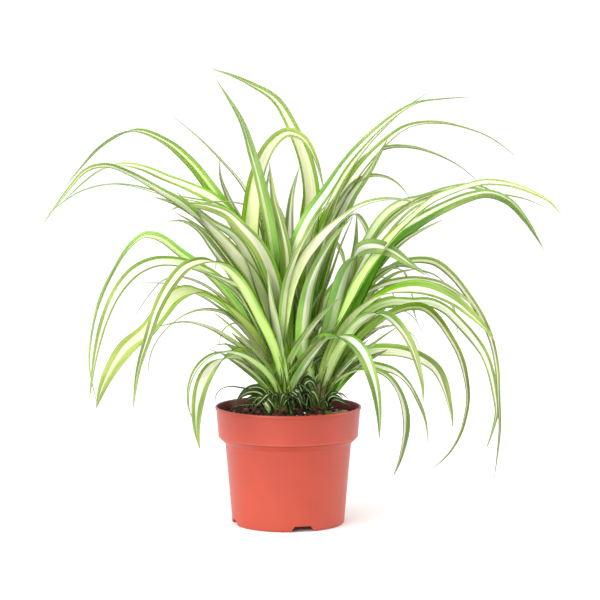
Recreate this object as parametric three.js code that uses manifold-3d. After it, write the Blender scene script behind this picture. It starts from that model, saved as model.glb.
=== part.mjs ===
// A potted spider plant, in millimetres, +Z up, with its origin on the ground under the middle of the pot.
// Three big rosettes and five young plants stand in the soil of a 12 cm plastic nursery pot.
import * as THREE from 'three'
import { mergeVertices } from 'three/addons/utils/BufferGeometryUtils.js'
import Module from 'manifold-3d'

const wasm = await Module()
wasm.setup()

// Driving dimensions of the pot.
const RIM_RADIUS = 60
const POT_HEIGHT = 97
const COLLAR_HEIGHT = 25
const COLLAR_FOOT_RADIUS = 57.5
const BODY_TOP_RADIUS = 51.9
const BASE_RADIUS = 46.3
const SHOULDER_HEIGHT = 5
const WALL = 1.3
const FLOOR_UNDERSIDE = 5
const FOOT_RING_WIDTH = 5
const FOOT_CORNER = 3
const LIP_DROP = 2.4
const NOTCH_WIDTH_AT_FOOT = 21.5
const NOTCH_WIDTH_AT_TOP = 13.8
const NOTCH_HEIGHT = 4.8
const NOTCH_COUNT = 4
const FIRST_NOTCH_ANGLE = -75
const DRAIN_RADIUS = 5
const DRAIN_RING_RADIUS = 24
const DRAIN_COUNT = 4
const FIRST_DRAIN_ANGLE = 45
const DRAIN_SIDES = 12
const POT_SIDES = 44

// Driving dimensions of the soil, and the clearance between pieces that touch.
const SOIL_LEVEL = 89.5
const SOIL_MOUND = 3.5
const SOIL_MOUND_RADIUS = 34
const CLEARANCE = 0.3
const STOCK_DEPTH = 26
const STOCK_SIDES = 10
// How far a stock stands above the soil as a straight neck, before its dome.
const STOCK_NECK = 1.6
const SOIL_RINGS = 5
const SOIL_SECTORS = 28

// The blades: how far the margins are folded up from flat, and how thick the midrib is.
const FOLD_ANGLE = THREE.MathUtils.degToRad(24)
const MIDRIB_THICKNESS = 1.6
const LEAST_THICKNESS = 0.9
const BASE_SHARE_OF_BREADTH = 0.62
const USUAL_BROADEST = 0.35
const STATION_SPACING = 33
const LEAST_STATIONS = 6
const MOST_STATIONS = 9
const YOUNG_STATIONS = 5
const TURNS_PER_STATION = 6

// Leaves are laid out as an eye in front of the plant sees them: across and up, in millimetres on the
// upright plane through the pot's axis. A depth, positive away from the eye, sets each point on its line
// of sight.
const EYE_DISTANCE = 2000
const EYE_HEIGHT = 385
// How strongly a leaf turns its face to the light, which falls from the front.
const TURN_TO_LIGHT = 1.6
// A leaf gains most of its depth where it runs sideways, and only this share as much where it rises or falls.
const DEPTH_SHARE_OF_RISE = 0.15
// Points closer than this are one point of a mesh.
const MERGE_DISTANCE = 1e-4

const place = (across, up, depth) => new THREE.Vector3(
  across * (1 + depth / EYE_DISTANCE),
  depth,
  up + (up - EYE_HEIGHT) * depth / EYE_DISTANCE,
)

const soilHeight = (x, y) => SOIL_LEVEL
  + SOIL_MOUND * Math.exp(-(x * x + y * y) / SOIL_MOUND_RADIUS ** 2)
  + 0.5 * Math.sin(x * 0.31 + 1.2) * Math.cos(y * 0.27)
  + 0.4 * Math.sin(x * 0.17 - y * 0.36 + 0.5)

// Solids for joining and cutting, from closed three.js geometries.
function toSolid(geometry) {
  geometry.deleteAttribute('normal')
  geometry.deleteAttribute('uv')
  const merged = mergeVertices(geometry, MERGE_DISTANCE)
  const mesh = new wasm.Mesh({
    numProp: 3,
    vertProperties: new Float32Array(merged.attributes.position.array),
    triVerts: new Uint32Array(merged.index.array),
  })
  return new wasm.Manifold(mesh)
}

function toGeometry(solid) {
  const mesh = solid.getMesh()
  const geometry = new THREE.BufferGeometry()
  geometry.setAttribute('position', new THREE.BufferAttribute(mesh.vertProperties, 3))
  geometry.setIndex(new THREE.BufferAttribute(mesh.triVerts, 1))
  geometry.computeVertexNormals()
  return geometry
}

// Joining can seal small hollows between blades. Only the joined body's outer skin is kept, so they fill.
function joined(solids) {
  const whole = wasm.Manifold.union(solids)
  const bodies = whole.decompose().sort((a, b) => b.volume() - a.volume())
  return bodies[0]
}

// A profile of [radius, height] turned round the pot's axis.
function turned(profile, sides, x = 0, y = 0) {
  const points = profile.map(([radius, height]) => new THREE.Vector2(radius, height))
  const geometry = new THREE.LatheGeometry(points, sides)
  geometry.rotateX(Math.PI / 2)
  geometry.translate(x, y, 0)
  return toSolid(geometry)
}

// The pot's inside follows its outside a wall's thickness in, and a little more at the shoulder and collar.
const SHOULDER_TOP = POT_HEIGHT - COLLAR_HEIGHT
const SHOULDER_FOOT = SHOULDER_TOP - SHOULDER_HEIGHT
const FLOOR_TOP = FLOOR_UNDERSIDE + WALL
const SHOULDER_EXTRA_WALL = 0.2
const COLLAR_EXTRA_WALL = 0.4

function innerRadius(height) {
  if (height >= SHOULDER_TOP) {
    const share = (height - SHOULDER_TOP) / COLLAR_HEIGHT
    return THREE.MathUtils.lerp(COLLAR_FOOT_RADIUS, RIM_RADIUS, share) - WALL - COLLAR_EXTRA_WALL
  }
  if (height >= SHOULDER_FOOT) {
    const share = (height - SHOULDER_FOOT) / SHOULDER_HEIGHT
    return THREE.MathUtils.lerp(BODY_TOP_RADIUS, COLLAR_FOOT_RADIUS, share) - WALL - SHOULDER_EXTRA_WALL
  }
  const share = height / SHOULDER_FOOT
  return THREE.MathUtils.lerp(BASE_RADIUS, BODY_TOP_RADIUS, share) - WALL
}

// From the underside of the floor, out over the foot ring, up the outside, over the lip and down the inside.
function potShell() {
  const footInside = BASE_RADIUS - FOOT_RING_WIDTH
  return turned([
    [0, FLOOR_UNDERSIDE],
    [footInside - 1, FLOOR_UNDERSIDE],
    [footInside, 0],
    [BASE_RADIUS - FOOT_CORNER, 0],
    [BASE_RADIUS - 0.9, 0.8],
    [BASE_RADIUS, FOOT_CORNER],
    [BODY_TOP_RADIUS, SHOULDER_FOOT - 0.6],
    [BODY_TOP_RADIUS + 0.2, SHOULDER_FOOT],
    [COLLAR_FOOT_RADIUS - 0.6, SHOULDER_TOP],
    [COLLAR_FOOT_RADIUS, SHOULDER_TOP + 0.7],
    [RIM_RADIUS - 0.7, POT_HEIGHT - LIP_DROP],
    [RIM_RADIUS, POT_HEIGHT - LIP_DROP + 0.6],
    [RIM_RADIUS, POT_HEIGHT - 0.7],
    [RIM_RADIUS - 0.6, POT_HEIGHT],
    [RIM_RADIUS - WALL, POT_HEIGHT],
    [innerRadius(POT_HEIGHT - 2), POT_HEIGHT - 2],
    [innerRadius(SHOULDER_TOP + 1), SHOULDER_TOP + 1],
    [innerRadius(SHOULDER_FOOT), SHOULDER_FOOT],
    [innerRadius(FLOOR_TOP + 2), FLOOR_TOP + 2],
    [innerRadius(FLOOR_TOP) - 2, FLOOR_TOP],
    [0, FLOOR_TOP],
  ], POT_SIDES)
}

// A drainage notch is cut through the foot ring from outside, wider at the ground.
function footNotch(index) {
  const outline = new THREE.Shape()
  outline.moveTo(-NOTCH_WIDTH_AT_FOOT / 2, -1)
  outline.lineTo(NOTCH_WIDTH_AT_FOOT / 2, -1)
  outline.lineTo(NOTCH_WIDTH_AT_TOP / 2, NOTCH_HEIGHT)
  outline.lineTo(-NOTCH_WIDTH_AT_TOP / 2, NOTCH_HEIGHT)
  outline.closePath()
  const geometry = new THREE.ExtrudeGeometry(outline, { depth: 2 * FOOT_RING_WIDTH + 2, bevelEnabled: false })
  geometry.rotateX(Math.PI / 2)
  geometry.translate(0, BASE_RADIUS + FOOT_CORNER, 0)
  const angle = FIRST_NOTCH_ANGLE - 90 + index * 360 / NOTCH_COUNT
  geometry.rotateZ(THREE.MathUtils.degToRad(angle))
  return toSolid(geometry)
}

function drainHole(index) {
  const geometry = new THREE.CylinderGeometry(DRAIN_RADIUS, DRAIN_RADIUS, 4 * WALL, DRAIN_SIDES)
  geometry.rotateX(Math.PI / 2)
  const angle = THREE.MathUtils.degToRad(FIRST_DRAIN_ANGLE + index * 360 / DRAIN_COUNT)
  geometry.translate(
    DRAIN_RING_RADIUS * Math.cos(angle),
    DRAIN_RING_RADIUS * Math.sin(angle),
    FLOOR_UNDERSIDE + WALL / 2,
  )
  return toSolid(geometry)
}

function makePot() {
  let pot = potShell()
  for (let index = 0; index < NOTCH_COUNT; index += 1) pot = pot.subtract(footNotch(index))
  for (let index = 0; index < DRAIN_COUNT; index += 1) pot = pot.subtract(drainHole(index))
  return pot
}

// The plants: where each one stands, and how thick its stock is.
const PLANTS = {
  rosette_left: { x: -3, y: 0, stock: 8 },
  rosette_right: { x: 26, y: 19, stock: 8 },
  rosette_back: { x: 6, y: 31, stock: 7 },
  young_plant_far_left: { x: -19, y: 4, stock: 3, young: true },
  young_plant_near_left: { x: -15, y: -24, stock: 3, young: true },
  young_plant_front: { x: 2, y: -27, stock: 3, young: true },
  young_plant_middle: { x: 15, y: -7, stock: 3, young: true },
  young_plant_right: { x: 33, y: -6, stock: 3, young: true },
}

// The stock is a blunt taper in the soil with a low dome above it, which the leaves grow from.
function stockProfile(plant, gap) {
  const top = soilHeight(plant.x, plant.y)
  const radius = plant.stock + gap
  return [
    [0, top - STOCK_DEPTH - gap],
    [radius * 0.45, top - STOCK_DEPTH - gap],
    [radius * 0.8, top - STOCK_DEPTH * 0.6],
    [radius, top - 5],
    [radius, top + STOCK_NECK],
  ]
}

function makeStock(plant) {
  const top = soilHeight(plant.x, plant.y)
  const profile = stockProfile(plant, 0)
  const neckTop = top + STOCK_NECK
  profile.push([plant.stock * 0.7, neckTop + plant.stock * 0.4], [0, neckTop + plant.stock * 0.6])
  return turned(profile, STOCK_SIDES, plant.x, plant.y)
}

// The soil fills the pot to a gently uneven top, as rings of points, and has a plain hole for every stock.
function soilBody() {
  const floor = FLOOR_TOP + CLEARANCE
  const bottomRadius = innerRadius(floor + 2) - CLEARANCE
  const topRadius = innerRadius(SOIL_LEVEL) - CLEARANCE
  // Slightly under the true radius, because the pot's wall is many-sided too.
  const shrink = Math.cos(Math.PI / POT_SIDES)
  const side = [
    [bottomRadius - 2, floor],
    [bottomRadius, floor + 2],
    [innerRadius(SHOULDER_FOOT) - CLEARANCE, SHOULDER_FOOT],
    [innerRadius(SHOULDER_TOP + 1) - CLEARANCE, SHOULDER_TOP + 1],
  ]
  const positions = []
  const addRing = (radius, heightAt) => {
    for (let sector = 0; sector < SOIL_SECTORS; sector += 1) {
      const angle = sector / SOIL_SECTORS * 2 * Math.PI
      const x = radius * shrink * Math.cos(angle)
      const y = radius * shrink * Math.sin(angle)
      positions.push(x, y, heightAt(x, y))
    }
  }
  for (const [radius, height] of side) addRing(radius, () => height)
  for (let ring = SOIL_RINGS; ring > 0; ring -= 1) addRing(topRadius * ring / SOIL_RINGS, soilHeight)
  const ringCount = side.length + SOIL_RINGS
  const floorCentre = ringCount * SOIL_SECTORS
  positions.push(0, 0, floor)
  positions.push(0, 0, soilHeight(0, 0))
  const index = []
  for (let ring = 0; ring < ringCount - 1; ring += 1) {
    for (let sector = 0; sector < SOIL_SECTORS; sector += 1) {
      const next = (sector + 1) % SOIL_SECTORS
      const low = ring * SOIL_SECTORS
      const high = low + SOIL_SECTORS
      index.push(low + sector, low + next, high + next)
      index.push(low + sector, high + next, high + sector)
    }
  }
  const last = (ringCount - 1) * SOIL_SECTORS
  for (let sector = 0; sector < SOIL_SECTORS; sector += 1) {
    const next = (sector + 1) % SOIL_SECTORS
    index.push(floorCentre, next, sector)
    index.push(floorCentre + 1, last + sector, last + next)
  }
  const geometry = new THREE.BufferGeometry()
  geometry.setAttribute('position', new THREE.Float32BufferAttribute(positions, 3))
  geometry.setIndex(index)
  return toSolid(geometry)
}

function makeSoil() {
  let soil = soilBody()
  for (const plant of Object.values(PLANTS)) {
    const profile = stockProfile(plant, CLEARANCE)
    const radius = plant.stock + CLEARANCE
    profile.push([radius, POT_HEIGHT + 5], [0, POT_HEIGHT + 5])
    soil = soil.subtract(turned(profile, STOCK_SIDES, plant.x, plant.y))
  }
  return soil
}

// Each row is one leaf: breadth, how far its tip lies behind its root (or the depth at every point), where
// along its length it is broadest if that is not near the root, and its route from the crown to the tip.
const LEAVES = {
  rosette_left: [
    { breadth: 12, depth: 130, route: [[-8, 150], [-20, 195], [-40, 241], [-62, 273], [-80, 296], [-100, 313],
      [-126, 322], [-151, 310], [-169, 292], [-181, 278]] },
    { breadth: 9, depth: 95, route: [[-8, 150], [-22, 200], [-42, 245], [-60, 265], [-80, 275.5],
      [-100, 283.5], [-120, 292], [-136, 294.5], [-151, 291], [-167, 280], [-182, 266]] },
    { breadth: 12, depth: 90, route: [[-7, 150], [-14, 195], [-27, 232], [-42, 250], [-58, 261.5],
      [-76, 265.5], [-100, 270], [-125, 277], [-144, 279], [-168, 273.5], [-188, 261], [-200, 250]] },
    { breadth: 14, depth: -75, route: [[-10, 135], [-27, 182], [-45, 213], [-65, 240], [-85, 260],
      [-105, 272.5], [-130, 287], [-148, 293.5], [-164, 290], [-180, 273], [-200, 247]] },
    { breadth: 4, depth: 30, route: [[-4, 150], [-9, 200], [-15, 240], [-26, 258], [-40, 263.5], [-58, 265],
      [-78, 263]] },
    { breadth: 11, depth: -25, route: [[-9, 140], [-20, 185], [-34, 222], [-48, 238], [-62, 250], [-76, 260],
      [-84, 264]] },
    { breadth: 8, depth: 10, route: [[-10, 150], [-20, 185], [-33, 208], [-44, 224], [-53, 236]] },
    { breadth: 14, depth: 30, route: [[-6, 140], [-17, 185], [-30, 228], [-29, 262], [-24, 290], [-14, 311],
      [-1, 321], [12, 316.5], [22, 300], [30, 272]] },
    { breadth: 9, depth: 8, route: [[-5, 150], [-9, 195], [-15, 240], [-22, 275], [-30, 305], [-38, 330],
      [-58, 364]] },
    { breadth: 5, depth: 60, route: [[-5, 150], [-12, 200], [-24, 250], [-38, 279], [-55, 299], [-75, 319],
      [-92, 333]] },
    { breadth: 12, depth: 85, route: [[-6, 150], [-18, 200], [-36, 242], [-49, 268], [-55, 285],
      [-56, 299]] },
    { breadth: 11, depth: 8, route: [[-3, 150], [-2, 190], [-2, 222], [-7, 248], [-12, 268], [-15.5, 297]] },
    { breadth: 15, depth: -60, route: [[-4, 135], [-1, 165], [5, 195], [16, 219], [30, 236], [46, 251],
      [58, 260], [74, 265.5], [90, 266.5], [106, 264]] },
    { breadth: 9, depth: -15, route: [[-12, 140], [-30, 175], [-47, 205], [-62, 226], [-74, 242], [-86, 249],
      [-98, 249]] },
    { breadth: 12, depth: -150, broadest: 0.55, route: [[-10, 138], [-24, 172], [-40, 199], [-54, 214],
      [-70, 219], [-84, 214.5], [-97, 200], [-107, 180], [-115, 155], [-123, 128], [-128, 92]] },
    { breadth: 7, depth: 40, route: [[-18, 140], [-42, 178], [-66, 206], [-88, 222], [-104, 234],
      [-116, 236.5], [-128, 228], [-142, 207], [-154, 181], [-161, 152], [-162.5, 128], [-157, 97]] },
    { breadth: 11, depth: -35, route: [[-14, 135], [-32, 174], [-52, 197], [-72, 209], [-92, 214.5],
      [-110, 214], [-126, 206], [-140, 189], [-150, 167], [-157, 142], [-163.5, 103]] },
    { breadth: 14, depth: -75, broadest: 0.8, route: [[-12, 127], [-28, 155], [-48, 177], [-66, 189.5],
      [-80, 193], [-93, 186], [-104, 171], [-115, 157], [-131, 144], [-143, 128], [-152, 111], [-158, 95]] },
    { breadth: 5, depth: 12, route: [[-20, 145], [-42, 173], [-62, 188], [-78, 193.5], [-92, 191],
      [-106, 180]] },
    { breadth: 4, depth: -5, route: [[-22, 140], [-44, 166], [-64, 183], [-80, 191.5], [-98, 197.5],
      [-121, 198.5]] },
    { breadth: 4, depth: 25, route: [[-22, 148], [-46, 178], [-68, 196], [-88, 203], [-102, 200.5],
      [-114, 188], [-125, 172]] },
    { breadth: 5, depth: 30, route: [[-16, 132], [-34, 158], [-52, 173], [-70, 176], [-86, 171], [-100, 160],
      [-110, 146], [-114.5, 131], [-113.5, 119]] },
    { breadth: 7, depth: 8, route: [[-14, 122], [-30, 138], [-48, 151], [-66, 161.5], [-84, 166],
      [-97, 164.5], [-110, 161.5]] },
    { breadth: 5, depth: 20, route: [[-14, 135], [-28, 155], [-40, 164.5], [-49, 163.5], [-55, 156],
      [-56.5, 147]] },
    { breadth: 7, depth: -10, route: [[-14, 124], [-28, 137], [-42, 144.5], [-52, 147.8], [-61, 147]] },
    { breadth: 16, depth: -110, broadest: 0.6, route: [[-12, 120], [-26, 133], [-40, 138.5], [-53, 135],
      [-64, 124], [-71, 109], [-74.5, 92], [-75, 76], [-72.5, 60]] },
    { breadth: 7, depth: -70, route: [[-14, 119], [-32, 135], [-50, 141], [-66, 136.5], [-77, 125],
      [-82, 110], [-82, 96], [-78.5, 85]] },
    { breadth: 13, depth: [2, 7, 5, -14, -42, -60, -72, -80, -86, -90, -92], broadest: 0.55,
      route: [[5, 124], [12, 137], [22, 147.5], [35, 153], [48, 151.5], [59, 142], [66, 128], [71, 112],
        [74, 94], [75, 80], [75, 69]] },
    { breadth: 12, depth: 120, route: [[-6, 150], [-16, 195], [-33, 228], [-46, 235], [-56, 226],
      [-60, 208]] },
  ],
  rosette_right: [
    { breadth: 13, depth: -70, route: [[29, 135], [36, 165], [44, 195], [51, 213], [60, 225], [72, 227.5],
      [85, 223.5], [98, 215], [112, 205]] },
    { breadth: 13, depth: -150, route: [[34, 140], [50, 178], [68, 212], [86, 236], [104, 254], [120, 267],
      [137, 275.5], [158, 282], [180, 281], [200, 274], [214, 266], [223, 254]] },
    { breadth: 11, depth: -95, route: [[36, 140], [54, 178], [72, 213], [88, 234], [106, 246], [126, 257.5],
      [148, 267], [164, 270], [180, 264], [194, 249], [209, 226]] },
    { breadth: 11, depth: 20, route: [[34, 145], [50, 190], [66, 232], [77, 250], [90, 261], [110, 267],
      [130, 274], [150, 277], [166, 272], [182, 262], [199, 240]] },
    { breadth: 8, depth: -15, route: [[36, 145], [54, 187], [72, 226], [88, 248], [102, 260], [114, 265.5],
      [126, 269]] },
    { breadth: 5, depth: 12, route: [[34, 150], [52, 200], [76, 243], [100, 263], [125, 272.5], [148, 276],
      [164, 272], [182, 269.5], [195, 266.5], [208, 261]] },
    { breadth: 12, depth: -110, broadest: 0.6, route: [[34, 130], [46, 158], [60, 176], [76, 187],
      [92, 192.5], [108, 193.5], [124, 189.5], [139, 181.5], [152, 170.5], [162, 160.5], [170, 149.5]] },
    { breadth: 8, depth: -45, route: [[30, 135], [42, 165], [56, 183], [72, 193], [88, 198.5], [106, 200.5],
      [124, 197.5], [138, 190], [150, 181], [158, 170]] },
    { breadth: 7, depth: -25, route: [[34, 140], [50, 172], [70, 198], [90, 212.5], [106, 216], [120, 214],
      [134, 203], [146, 188], [157, 171], [166, 151], [171, 128], [172.5, 104], [174, 80], [172.5, 58],
      [170, 36]] },
    { breadth: 5, depth: 15, route: [[34, 145], [50, 180], [70, 203], [90, 211.5], [108, 208.5], [121, 204],
      [132, 194], [141, 186]] },
    { breadth: 10, depth: -20, route: [[38, 126], [52, 145], [68, 160], [84, 171.5], [98, 177], [110, 177],
      [120, 169.5], [131, 154.5], [140, 138], [145, 120], [147, 102], [145, 87], [141, 73], [132, 57],
      [118, 43.5]] },
    { breadth: 11, depth: -95, broadest: 0.55, route: [[33, 122], [44, 146], [57, 164], [70, 172],
      [81, 170.5], [92, 160.5], [101, 146], [107, 128], [110.5, 112], [111, 99]] },
    { breadth: 8, depth: 25, broadest: 0.6, route: [[36, 118], [48, 132], [62, 140.5], [78, 142.5],
      [95, 140.5], [110, 134.5], [120, 127], [127, 114], [131.5, 99], [134.5, 87], [135.5, 79]] },
    { breadth: 10, depth: -15, broadest: 0.7, route: [[36, 112], [46, 121], [58, 126], [70, 125.5],
      [81, 120], [89, 109.5], [94, 96], [95.7, 80], [94, 64], [91, 50], [87, 39]] },
    { breadth: 6, depth: 45, broadest: 0.65, route: [[34, 112], [46, 124], [60, 130], [74, 128.5],
      [88, 123.5], [98, 114], [105, 101.5], [111, 88], [114, 76], [115, 65]] },
    { breadth: 4, depth: 30, route: [[34, 125], [50, 145], [68, 158], [85, 163], [97, 159.5], [104, 153],
      [108, 144]] },
    { breadth: 4, depth: 35, route: [[34, 130], [50, 158], [68, 174], [84, 178], [97, 174], [105, 167],
      [110, 157]] },
    { breadth: 8, depth: 0, route: [[36, 130], [52, 158], [68, 175], [84, 181.5], [102, 181], [116, 181],
      [128, 175.5], [140, 164], [151, 151.5], [160, 138.5], [165.5, 124], [169, 108], [171, 92], [168, 76],
      [163, 60]] },
    { breadth: 8, depth: 60, route: [[38, 140], [58, 172], [82, 193], [106, 199], [124, 193], [134, 180],
      [138, 166], [138.5, 150]] },
    { breadth: 7, depth: 55, route: [[36, 140], [52, 175], [70, 200], [84, 210], [94, 207.5], [99, 196],
      [102, 185], [104, 174]] },
    { breadth: 5, depth: 50, route: [[36, 140], [50, 175], [64, 196], [75, 203], [82, 200], [86, 188],
      [88, 175]] },
    { breadth: 8, depth: -20, route: [[34, 140], [48, 172], [62, 194], [75, 207], [90, 213], [104, 211.5],
      [116, 204]] },
    { breadth: 12, depth: [6, -6, -12, -16, -20, -24, -28], route: [[19, 120], [13.5, 145], [14, 170],
      [19, 198], [28, 220], [38, 236], [52, 252]] },
    { breadth: 10, depth: -12, route: [[22, 120], [23, 150], [28, 183], [36, 206], [44, 230], [53, 253]] },
    { breadth: 7, depth: 5, route: [[30, 125], [38, 160], [48, 195], [55, 225], [56, 256]] },
    { breadth: 9, depth: 95, route: [[36, 130], [54, 160], [72, 180], [88, 186], [100, 180], [106, 166]] },
  ],
  rosette_back: [
    { breadth: 15, depth: 60, route: [[7, 150], [11, 195], [17, 240], [20, 270], [15, 298], [5, 321],
      [-10, 347], [-30, 360], [-45, 367], [-62, 373]] },
    { breadth: 13, depth: [22, 14, 9, 7, 9, 14, 20, 27, 34, 40, 46], route: [[1, 150], [1, 195], [7, 228],
      [18, 252], [32, 272], [48, 296], [65, 315], [85, 333], [104, 344.5], [124, 348], [146, 350]] },
    { breadth: 6, depth: 45, route: [[8, 150], [16, 200], [30, 252], [46, 285], [64, 310], [82, 329],
      [98, 343], [113, 353]] },
    { breadth: 13, depth: 55, route: [[10, 160], [17, 205], [30, 243], [45, 269], [60, 291.5], [78, 311],
      [97, 325], [120, 328.5], [142, 325], [164, 317], [184, 303]] },
    { breadth: 7, depth: 70, route: [[14, 160], [24, 210], [38, 255], [52, 287], [66, 303], [84, 309.5],
      [104, 308.5], [124, 302], [140, 293.5], [153, 283]] },
    { breadth: 11, depth: 25, route: [[15, 160], [24, 210], [34, 245], [45, 267], [56, 281], [68, 286],
      [82, 284], [92, 277], [99, 268]] },
    { breadth: 7, depth: -5, route: [[10, 150], [14, 200], [22, 245], [32, 276], [42, 288], [52, 296]] },
    { breadth: 8, depth: 20, route: [[18, 160], [28, 205], [40, 237], [51, 259], [58, 274]] },
    { breadth: 11, depth: 40, route: [[3, 160], [1, 210], [1, 248], [3, 270], [9, 293]] },
    { breadth: 13, depth: 118, route: [[8, 150], [4, 200], [-6, 245], [-14, 262], [-20, 255], [-24, 232],
      [-24, 205]] },
    { breadth: 12, depth: 112, route: [[10, 160], [12, 215], [16, 262], [19, 280], [22, 272], [26, 245],
      [26, 215]] },
    { breadth: 12, depth: 100, route: [[14, 150], [24, 200], [40, 243], [52, 255], [62, 246], [68, 225],
      [70, 205]] },
    { breadth: 10, depth: 90, route: [[14, 140], [26, 175], [44, 200], [60, 204], [70, 196], [76, 180],
      [78, 162]] },
    { breadth: 11, depth: 115, route: [[8, 130], [4, 155], [-4, 175], [-10, 178], [-16, 165], [-18, 145]] },
    { breadth: 11, depth: 105, route: [[14, 130], [22, 155], [32, 172], [42, 174], [50, 160], [52, 142]] },
    { breadth: 12, depth: 118, route: [[10, 150], [16, 190], [26, 222], [36, 232], [44, 222], [48, 200]] },
    { breadth: 11, depth: 100, route: [[8, 150], [0, 190], [-12, 222], [-24, 232], [-34, 222], [-38, 203]] },
    { breadth: 11, depth: 118, route: [[9, 135], [8, 165], [6, 180], [4, 172], [2, 150], [0, 122],
      [0, 100]] },
    { breadth: 10, depth: 110, route: [[12, 135], [18, 165], [24, 178], [28, 168], [30, 145], [30, 122]] },
  ],
  young_plant_far_left: [
    { breadth: 2.5, depth: 16, route: [[-25, 106], [-31, 109.5], [-40, 111.8], [-49, 112.6], [-56, 110],
      [-59.5, 105], [-60, 99.5]] },
    { breadth: 5.5, depth: 6, route: [[-20, 106], [-25, 110.8], [-32, 110.8], [-38, 107.5], [-42.5, 101.5]] },
    { breadth: 4, depth: 16, route: [[-19, 108], [-23, 113.5], [-29, 114.8], [-35, 112], [-39, 107]] },
    { breadth: 5, depth: -8, route: [[-20, 102], [-25, 107.6], [-32, 107.5], [-38, 104.5], [-42, 100]] },
    { breadth: 3, depth: -18, route: [[-22, 97.5], [-29, 99.5], [-37, 98.8], [-44, 96.5], [-48.5, 93.8]] },
  ],
  young_plant_near_left: [
    { breadth: 3.2, depth: -14, route: [[-15.5, 99], [-17, 106], [-21, 104.5], [-25.5, 98.5], [-30, 92.5]] },
    { breadth: 3, depth: 3, route: [[-16, 103], [-16.5, 110.5], [-13.5, 107.5], [-9, 102], [-6, 97]] },
    { breadth: 4.5, depth: -16, route: [[-16, 98], [-16.5, 104], [-14, 101.5], [-12, 97], [-9.7, 91.5]] },
    { breadth: 4, depth: 4, route: [[-18, 97], [-22, 102], [-27, 103], [-31, 99]] },
  ],
  young_plant_front: [
    { breadth: 2.8, depth: -10, route: [[1.5, 102], [3, 108.6], [7, 106], [12, 100.5], [17, 95]] },
    { breadth: 5, depth: -6, route: [[-1, 99], [-2.5, 106], [-5, 106.5], [-7, 101], [-7.5, 95.5]] },
    { breadth: 4.5, depth: -9, route: [[3, 97], [5.5, 102], [8.5, 101.5], [11, 97], [12, 93]] },
    { breadth: 4.5, depth: -8, route: [[1, 97], [-0.5, 101.5], [-2.5, 100], [-4, 94.5]] },
  ],
  young_plant_middle: [
    { breadth: 3, depth: -12, route: [[12.5, 106], [8.8, 114.6], [13, 111.8], [17.5, 107.5], [21.5, 102]] },
    { breadth: 6, depth: -3, route: [[14.5, 108], [16, 118], [19, 118.5], [22, 113], [24, 106]] },
    { breadth: 5, depth: 4, route: [[12.5, 106], [11, 116], [8.5, 118], [6.5, 112]] },
    { breadth: 5, depth: -14, route: [[16, 103], [19, 108], [22, 106.5], [24.5, 100], [25.5, 95]] },
  ],
  young_plant_right: [
    { breadth: 4, depth: -12, route: [[35.5, 99.5], [40, 102.3], [44.5, 101], [48.5, 98]] },
    { breadth: 4, depth: 8, route: [[36, 102], [40, 105.4], [45, 104.5], [49, 100.5]] },
    { breadth: 4, depth: -8, route: [[32, 100], [29.5, 103.2], [27, 100.5], [25.5, 97]] },
    { breadth: 4, depth: 22, route: [[36, 104], [40, 107.5], [44, 106.5], [48, 102.5]] },
  ],
}

// The share of its full breadth that a leaf has along its length: long and grass-like, then a fine tip.
function breadthShare(along, broadest) {
  const rise = THREE.MathUtils.smoothstep(along, 0, broadest)
  const fall = Math.max(0, (along - broadest) / (1 - broadest))
  return THREE.MathUtils.lerp(BASE_SHARE_OF_BREADTH, 1, rise) * (1 - fall ** 1.6) ** 0.9
}

// The curve that a leaf's midrib follows, from inside the stock to the tip.
function midrib(leaf, plant) {
  const rootHeight = soilHeight(plant.x, plant.y) + 0.5
  const rootScale = 1 + plant.y / EYE_DISTANCE
  const rootAcross = plant.x / rootScale
  const rootUp = (rootHeight + EYE_HEIGHT * (rootScale - 1)) / rootScale
  const route = [[rootAcross, rootUp], ...leaf.route]
  let travelled = 0
  const progress = route.map((point, index) => {
    if (index > 0) {
      const before = route[index - 1]
      travelled += Math.abs(point[0] - before[0]) + DEPTH_SHARE_OF_RISE * Math.abs(point[1] - before[1])
    }
    return travelled
  })
  const points = route.map(([across, up], index) => {
    const depth = Array.isArray(leaf.depth)
      ? [plant.y, ...leaf.depth][index]
      : plant.y + leaf.depth * progress[index] / travelled
    return place(across, up, depth)
  })
  return new THREE.CatmullRomCurve3(points, false, 'centripetal')
}

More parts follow.
